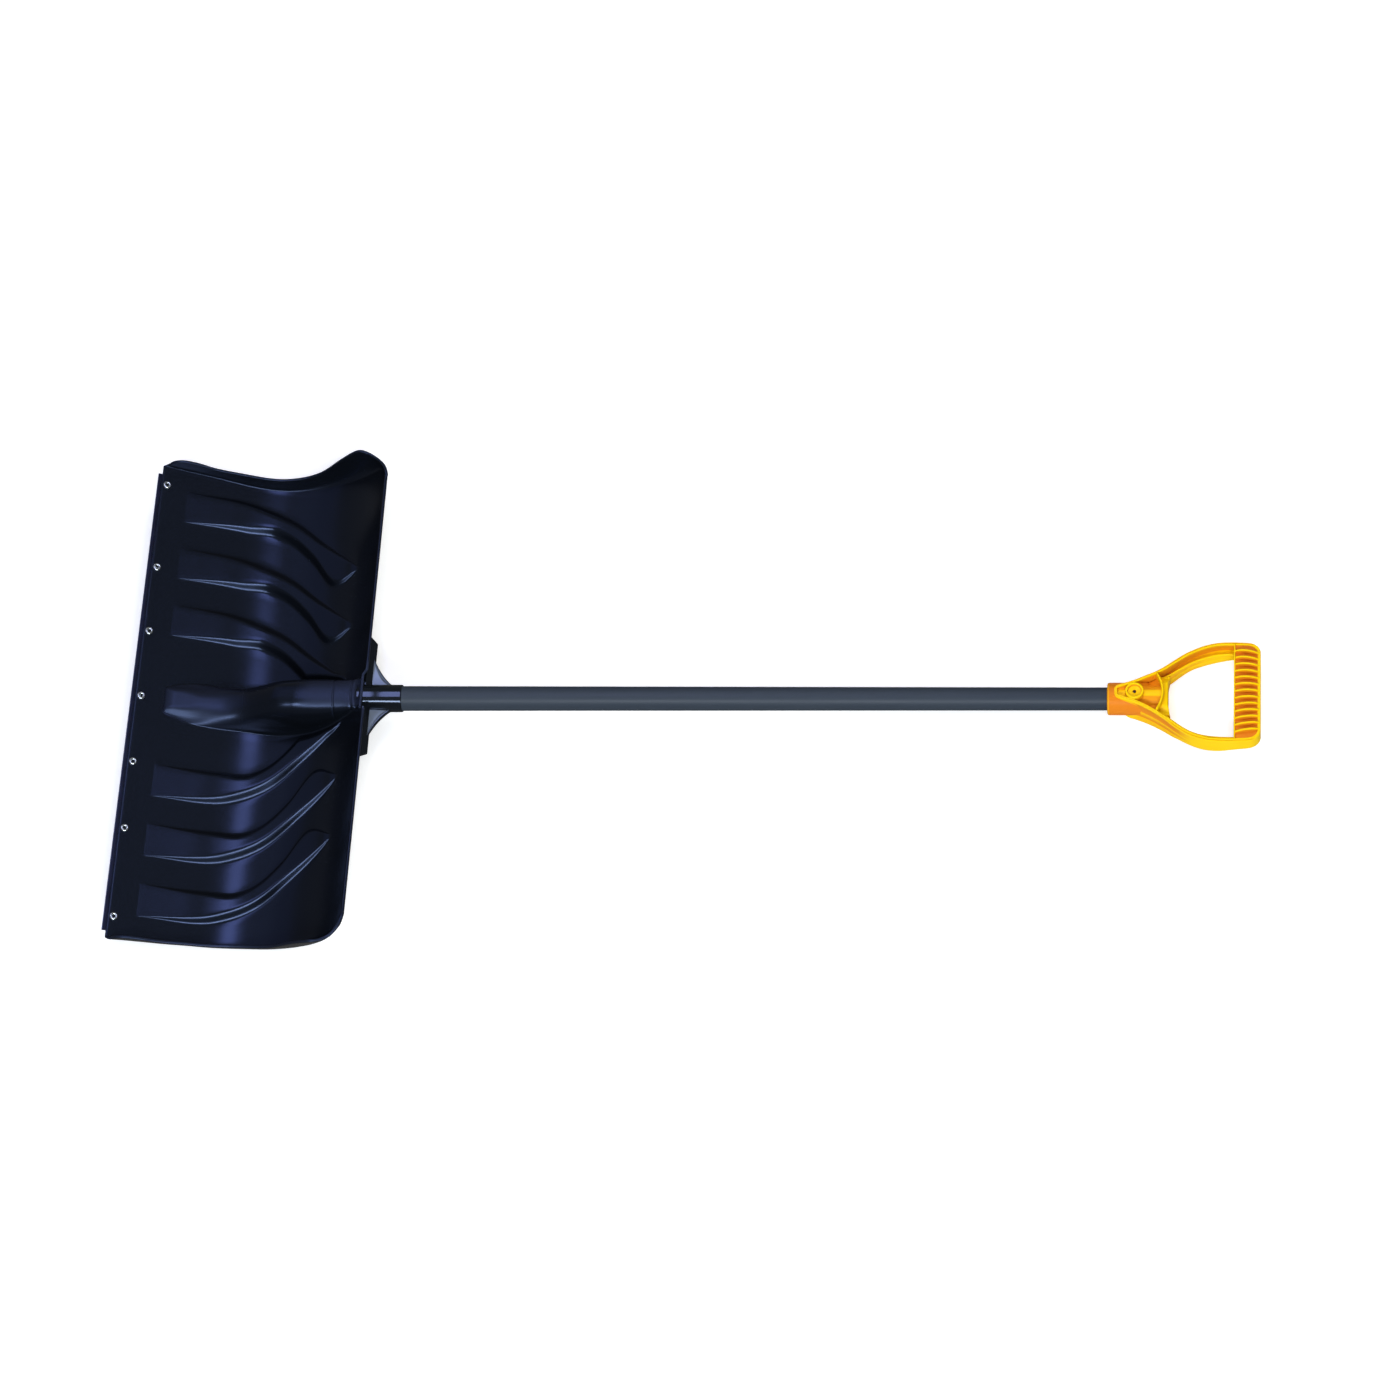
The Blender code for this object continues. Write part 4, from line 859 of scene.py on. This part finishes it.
boss = {"middle": (840.5, 0.0), "radius": 10.4, "top": 21.3, "base": 9.0, "hole": 1.9, "holeFloor": 14.0}


def makeBoss():
    # ring and dish round the pin, turned about Z
    top, big, base, hole = boss["top"], boss["radius"], boss["base"], boss["hole"]
    dish, lid = top - 2.2, top - 3.2
    profile = np.concatenate([
        [(0.0, base), (big + 0.5, base), (big, top - 1.0)], arc((big - 0.9, top - 0.9), (0.9, 0.9), 0, 90, 6),
        arc((8.5, top - 0.6), (0.6, 0.6), 90, 180, 5), [(7.7, dish)], arc((6.9, dish), (0.8, 0.8), 0, -90, 4),
        [(hole + 0.5, lid)], arc((hole + 0.5, lid - 0.5), (0.5, 0.5), 90, 180, 4),
        [(hole, boss["holeFloor"]), (0.0, boss["holeFloor"])]])
    r, h = profile.T
    outside, dishSide = r > 8, r > 7
    # painted shade: crescents below the ring's edges and in the dish, and dark in the pin's hole
    tone = np.clip((top - 0.3 - h) / 2.0, 0, 1) * np.where(outside, 0.9, np.where(dishSide, 0.85, 0.15))
    tone = np.clip(tone + 0.8 * (r < hole + 0.3), 0, 1)
    gripPiece("gripBoss", (spun(profile, boss["middle"]), False, True, tone[:, None]))


throat = {
    "half": 24.5, "stations": 50, "left": 870.8, "bow": 6.6, "bowHalf": 23.0, "web": 2.4, "low": -15.6,
    "edge": ((0, 878.4), (13, 878.4), (21.5, 880.0), (29, 882.2)), "round": 0.9,
    "top": 20.4, "topDrop": 5.0, "topSide": (21.5, 3.0),
    "slope": 14.0, "slopeDrop": 7.0, "slopeSide": (12.0, 12.0),
}


def makeThroat():
    # arched web across the throat, then a slope to the rounded edge of the hand's opening
    y = np.linspace(-throat["half"], throat["half"], throat["stations"])
    far = np.abs(y)
    left = throat["left"] - throat["bow"] * (y / throat["bowHalf"]) ** 2
    right = left + throat["web"]
    edge = straight(throat["edge"], far)
    top = throat["top"] - throat["topDrop"] * easeFrom(far, *throat["topSide"])
    slope = throat["slope"] - throat["slopeDrop"] * easeFrom(far, *throat["slopeSide"])
    low = throat["low"]
    # the third number is painted shade, deepest low on the web and underneath
    corners = ((left, 2.0, 0.9), (left + 0.2, top, 0), (right, top, 0), (right + 0.4, slope, 0.3),
               (edge - 0.8, np.minimum(12.4, slope - 0.6), 0), (edge, np.minimum(10.4, slope - 2.2), 0.1),
               (edge, -8.0, 0.4), (edge - 0.6, -10.5, 0.5), (right + 0.4, low + 1.5, 0.5), (right, low, 0.5),
               (left, low, 0.5), (left, -6.0, 0.6))
    section = roundCorners(outline(*corners), throat["round"])
    grid = capped(stack(section[..., 0], y[:, None], section[..., 1]))
    gripPiece("gripThroat", (grid, False, True, tones(corners)))


bar = {
    "x": (951.9, 982.3), "half": 60.0, "stations": 61, "inset": 0.5, "wall": 20.8, "floor": 17.8,
    "back": (967.1, 8.0), "backRadii": (15.2, 12.6), "backSteps": 17,
    "ribs": 13, "ribPitch": 8.6, "ribHalf": 1.0, "ribEnd": 19.8, "ribArch": 4.0, "archPower": 2.2,
    "ribInset": 1.6, "ribSteps": 17, "drawn": 0.07, "drawnPower": 1.5, "ribRound": 0.6,
}


def makeBar():
    # trough with a rounded back, carried across from arm to arm and drawn in at the rounded corners
    y = np.linspace(-bar["half"], bar["half"], bar["stations"])
    left, far = bar["x"]
    wall, floor = bar["wall"], bar["floor"]
    # x, z, rounding and painted shade, deepest on the trough's floor
    corners = [(left, 9.0, 0.5, 0.35), (left + 0.2, wall, 0.9, 0), (left + 1.7, wall, 0.6, 0),
               (left + 2.1, floor, 0.8, 1), (far - 2.6, floor, 0.8, 1), (far - 2.2, 19.8, 0.6, 0),
               (far, 19.6, 0.9, 0)]
    back = arc(bar["back"], bar["backRadii"], 0, -180, bar["backSteps"])[:-1]
    corners = np.array(corners + [(*spot, 0.4, 0.2) for spot in back])
    section = roundCorners(corners[:, :2], corners[:, 2], 3)
    reach = (barEnd(y) - bar["inset"] - left) / (far - left)
    x = left + (section[:, 0] - left) * reach[:, None]
    grid = capped(stack(x, y[:, None], section[:, 1]))
    gripPiece("gripBar", (grid, False, True, tones(corners, 3, 3)))


def makeBarRibs():
    # thin ribs across the trough, arched along their tops and drawn together a little towards the end
    left, floor = bar["x"][0] + bar["ribInset"], bar["floor"]
    share = np.linspace(0, 1, bar["ribSteps"])
    top = bar["ribEnd"] + bar["ribArch"] * (1 - np.abs(2 * share - 1) ** bar["archPower"])
    h = bar["ribHalf"]
    # the third number is painted shade on the ribs' sides and feet
    corners = ((-h - 0.35, floor - 0.6, 1), (h + 0.35, floor - 0.6, 1), (h + 0.1, top - 1.3, 0.7),
               (h, top, 0), (-h, top, 0), (-h - 0.1, top - 1.3, 0.7))
    section = roundCorners(outline(*corners), bar["ribRound"])
    grids = []
    for number in range(bar["ribs"]):
        y = (number - (bar["ribs"] - 1) / 2) * bar["ribPitch"]
        x = left + (barEnd(y) - bar["ribInset"] - left) * share
        drawn = y * (1 - bar["drawn"] * share ** bar["drawnPower"])
        grid = capped(stack(x[:, None], drawn[:, None] + section[..., 0], section[..., 1]))
        grids.append((grid, False, True, tones(corners)))
    gripPiece("gripBarRibs", *grids)


makeGripBand()
makeArms()
makeNeck()
makePocketFloor()
makeBoss()
makeThroat()
makeBar()
makeBarRibs()

for node, finish in (("shaft_plug", blackPlug), ("grip_pin", pinSteel)):
    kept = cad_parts[node]
    kept.data.materials.clear()
    kept.data.materials.append(finish)
print("pieces made")

studio = {
    "floorRings": (0.0, 1.0, 2.5, 6.0, 15.0, 40.0), "floorSides": 48,
    "floorColour": (0.80, 0.80, 0.80), "floorRough": 0.9, "floorGlow": 0.47, "world": 0.13,
    # name, direction from the aim, distance, size across and along Y, brightness, colour, aim on X in
    # millimetres, whether it is mirrored in the shovel
    "lamps": (
        ("ceiling", (0.0, 0.0, 1.0), 6.0, (9.0, 9.0), 0.12, (1.0, 1.0, 1.0), 0.0, True),
        ("overhead", (0.02, 0.14, 0.99), 3.2, (0.66, 2.5), 5.6, (0.56, 0.60, 1.0), -160.0, True),
        ("nearSide", (0.15, -0.80, 0.58), 3.2, (3.0, 0.6), 16.0, (0.84, 0.92, 1.0), -160.0, True),
        ("frontSide", (0.25, -0.42, 0.87), 3.6, (1.4, 1.4), 6.0, (1.0, 0.99, 0.94), 700.0, False),
        ("backSide", (0.10, 0.50, 0.85), 3.4, (1.6, 1.6), 4.0, (1.0, 0.99, 0.94), 700.0, False),
        ("coolFill", (-0.52, 0.46, 0.72), 4.0, (2.4, 4.0), 0.20, (0.38, 0.48, 1.0), -160.0, True),
    ),
}


def makeFloor():
    # level sheet in rings, with a little glow that only the camera sees, so it stays white
    r = np.array(studio["floorRings"])[:, None]
    v = ringAngles(studio["floorSides"])
    points = stack(r * np.cos(v), r * np.sin(v), 0 * r)
    faces = gridFaces(*points.shape[:2], False, True, 0)
    mesh = bpy.data.meshes.new("studioFloor")
    mesh.from_pydata(points.reshape(-1, 3).tolist(), [], faces.tolist())
    closeUp(mesh)
    paper = bpy.data.materials.new("paleFloor")
    paper.use_nodes = True
    tree = paper.node_tree
    shader = tree.nodes["Principled BSDF"]
    shader.inputs["Base Color"].default_value = (*studio["floorColour"], 1)
    shader.inputs["Roughness"].default_value = studio["floorRough"]
    shader.inputs["Specular IOR Level"].default_value = 0.0
    shader.inputs["Emission Color"].default_value = (1, 1, 1, 1)
    path = addNode(tree, "ShaderNodeLightPath")
    glow = addNode(tree, "ShaderNodeMath", operation="MULTIPLY")
    wire(tree, path.outputs["Is Camera Ray"], glow.inputs[0])
    glow.inputs[1].default_value = studio["floorGlow"]
    wire(tree, glow.outputs[0], shader.inputs["Emission Strength"])
    mesh.materials.append(paper)
    floor = bpy.data.objects.new("studioFloor", mesh)
    floor.visible_glossy = False
    scene.collection.objects.link(floor)


def placed(axes, place):
    # matrix of an object with these X, Y and Z axes
    return Matrix([[axis[i] for axis in axes] + [place[i]] for i in range(3)] + [[0, 0, 0, 1]])


def makeLight():
    # an even white world, and rectangular lamps that face their aims
    world = bpy.data.worlds.new("studioWorld")
    world.use_nodes = True
    world.node_tree.nodes["Background"].inputs["Color"].default_value = (1, 1, 1, 1)
    world.node_tree.nodes["Background"].inputs["Strength"].default_value = studio["world"]
    scene.world = world
    for name, direction, distance, size, brightness, colour, aimX, mirrored in studio["lamps"]:
        lamp = bpy.data.lights.new(name, "AREA")
        lamp.shape = "RECTANGLE"
        lamp.size, lamp.size_y = size
        lamp.energy = brightness * math.pi * size[0] * size[1]
        lamp.color = colour
        out = np.array(direction) / np.linalg.norm(direction)
        along = np.array([0.0, 1.0, 0.0]) - out * out[1]
        along /= np.linalg.norm(along)
        place = toRow((aimX, 0.0, 0.0)) + out * distance
        holder = bpy.data.objects.new(name, lamp)
        holder.matrix_world = placed((np.cross(along, out), along, out), place)
        holder.visible_glossy = mirrored
        scene.collection.objects.link(holder)


# measured from the photograph: the camera's axes, its place in the row's frame, its focal length in pixels
photo = {
    "right": (0.990447, 0.055755, -0.126119), "up": (0.010678, 0.880852, 0.473271),
    "back": (0.137479, -0.470097, 0.871842), "place": (0.781979, -2.631472, 4.908341),
    "focal": 4889.0, "width": 1400, "sensor": 36.0, "clip": 200.0,
}


def makeCamera():
    lens = bpy.data.cameras.new("photoCamera")
    lens.sensor_width = photo["sensor"]
    lens.lens = photo["focal"] / photo["width"] * photo["sensor"]
    lens.clip_end = photo["clip"]
    camera = bpy.data.objects.new("photoCamera", lens)
    camera.matrix_world = placed((photo["right"], photo["up"], photo["back"]), photo["place"])
    scene.collection.objects.link(camera)
    scene.camera = camera


makeFloor()
makeLight()
makeCamera()
scene.view_settings.view_transform = "Standard"
print("studio ready")
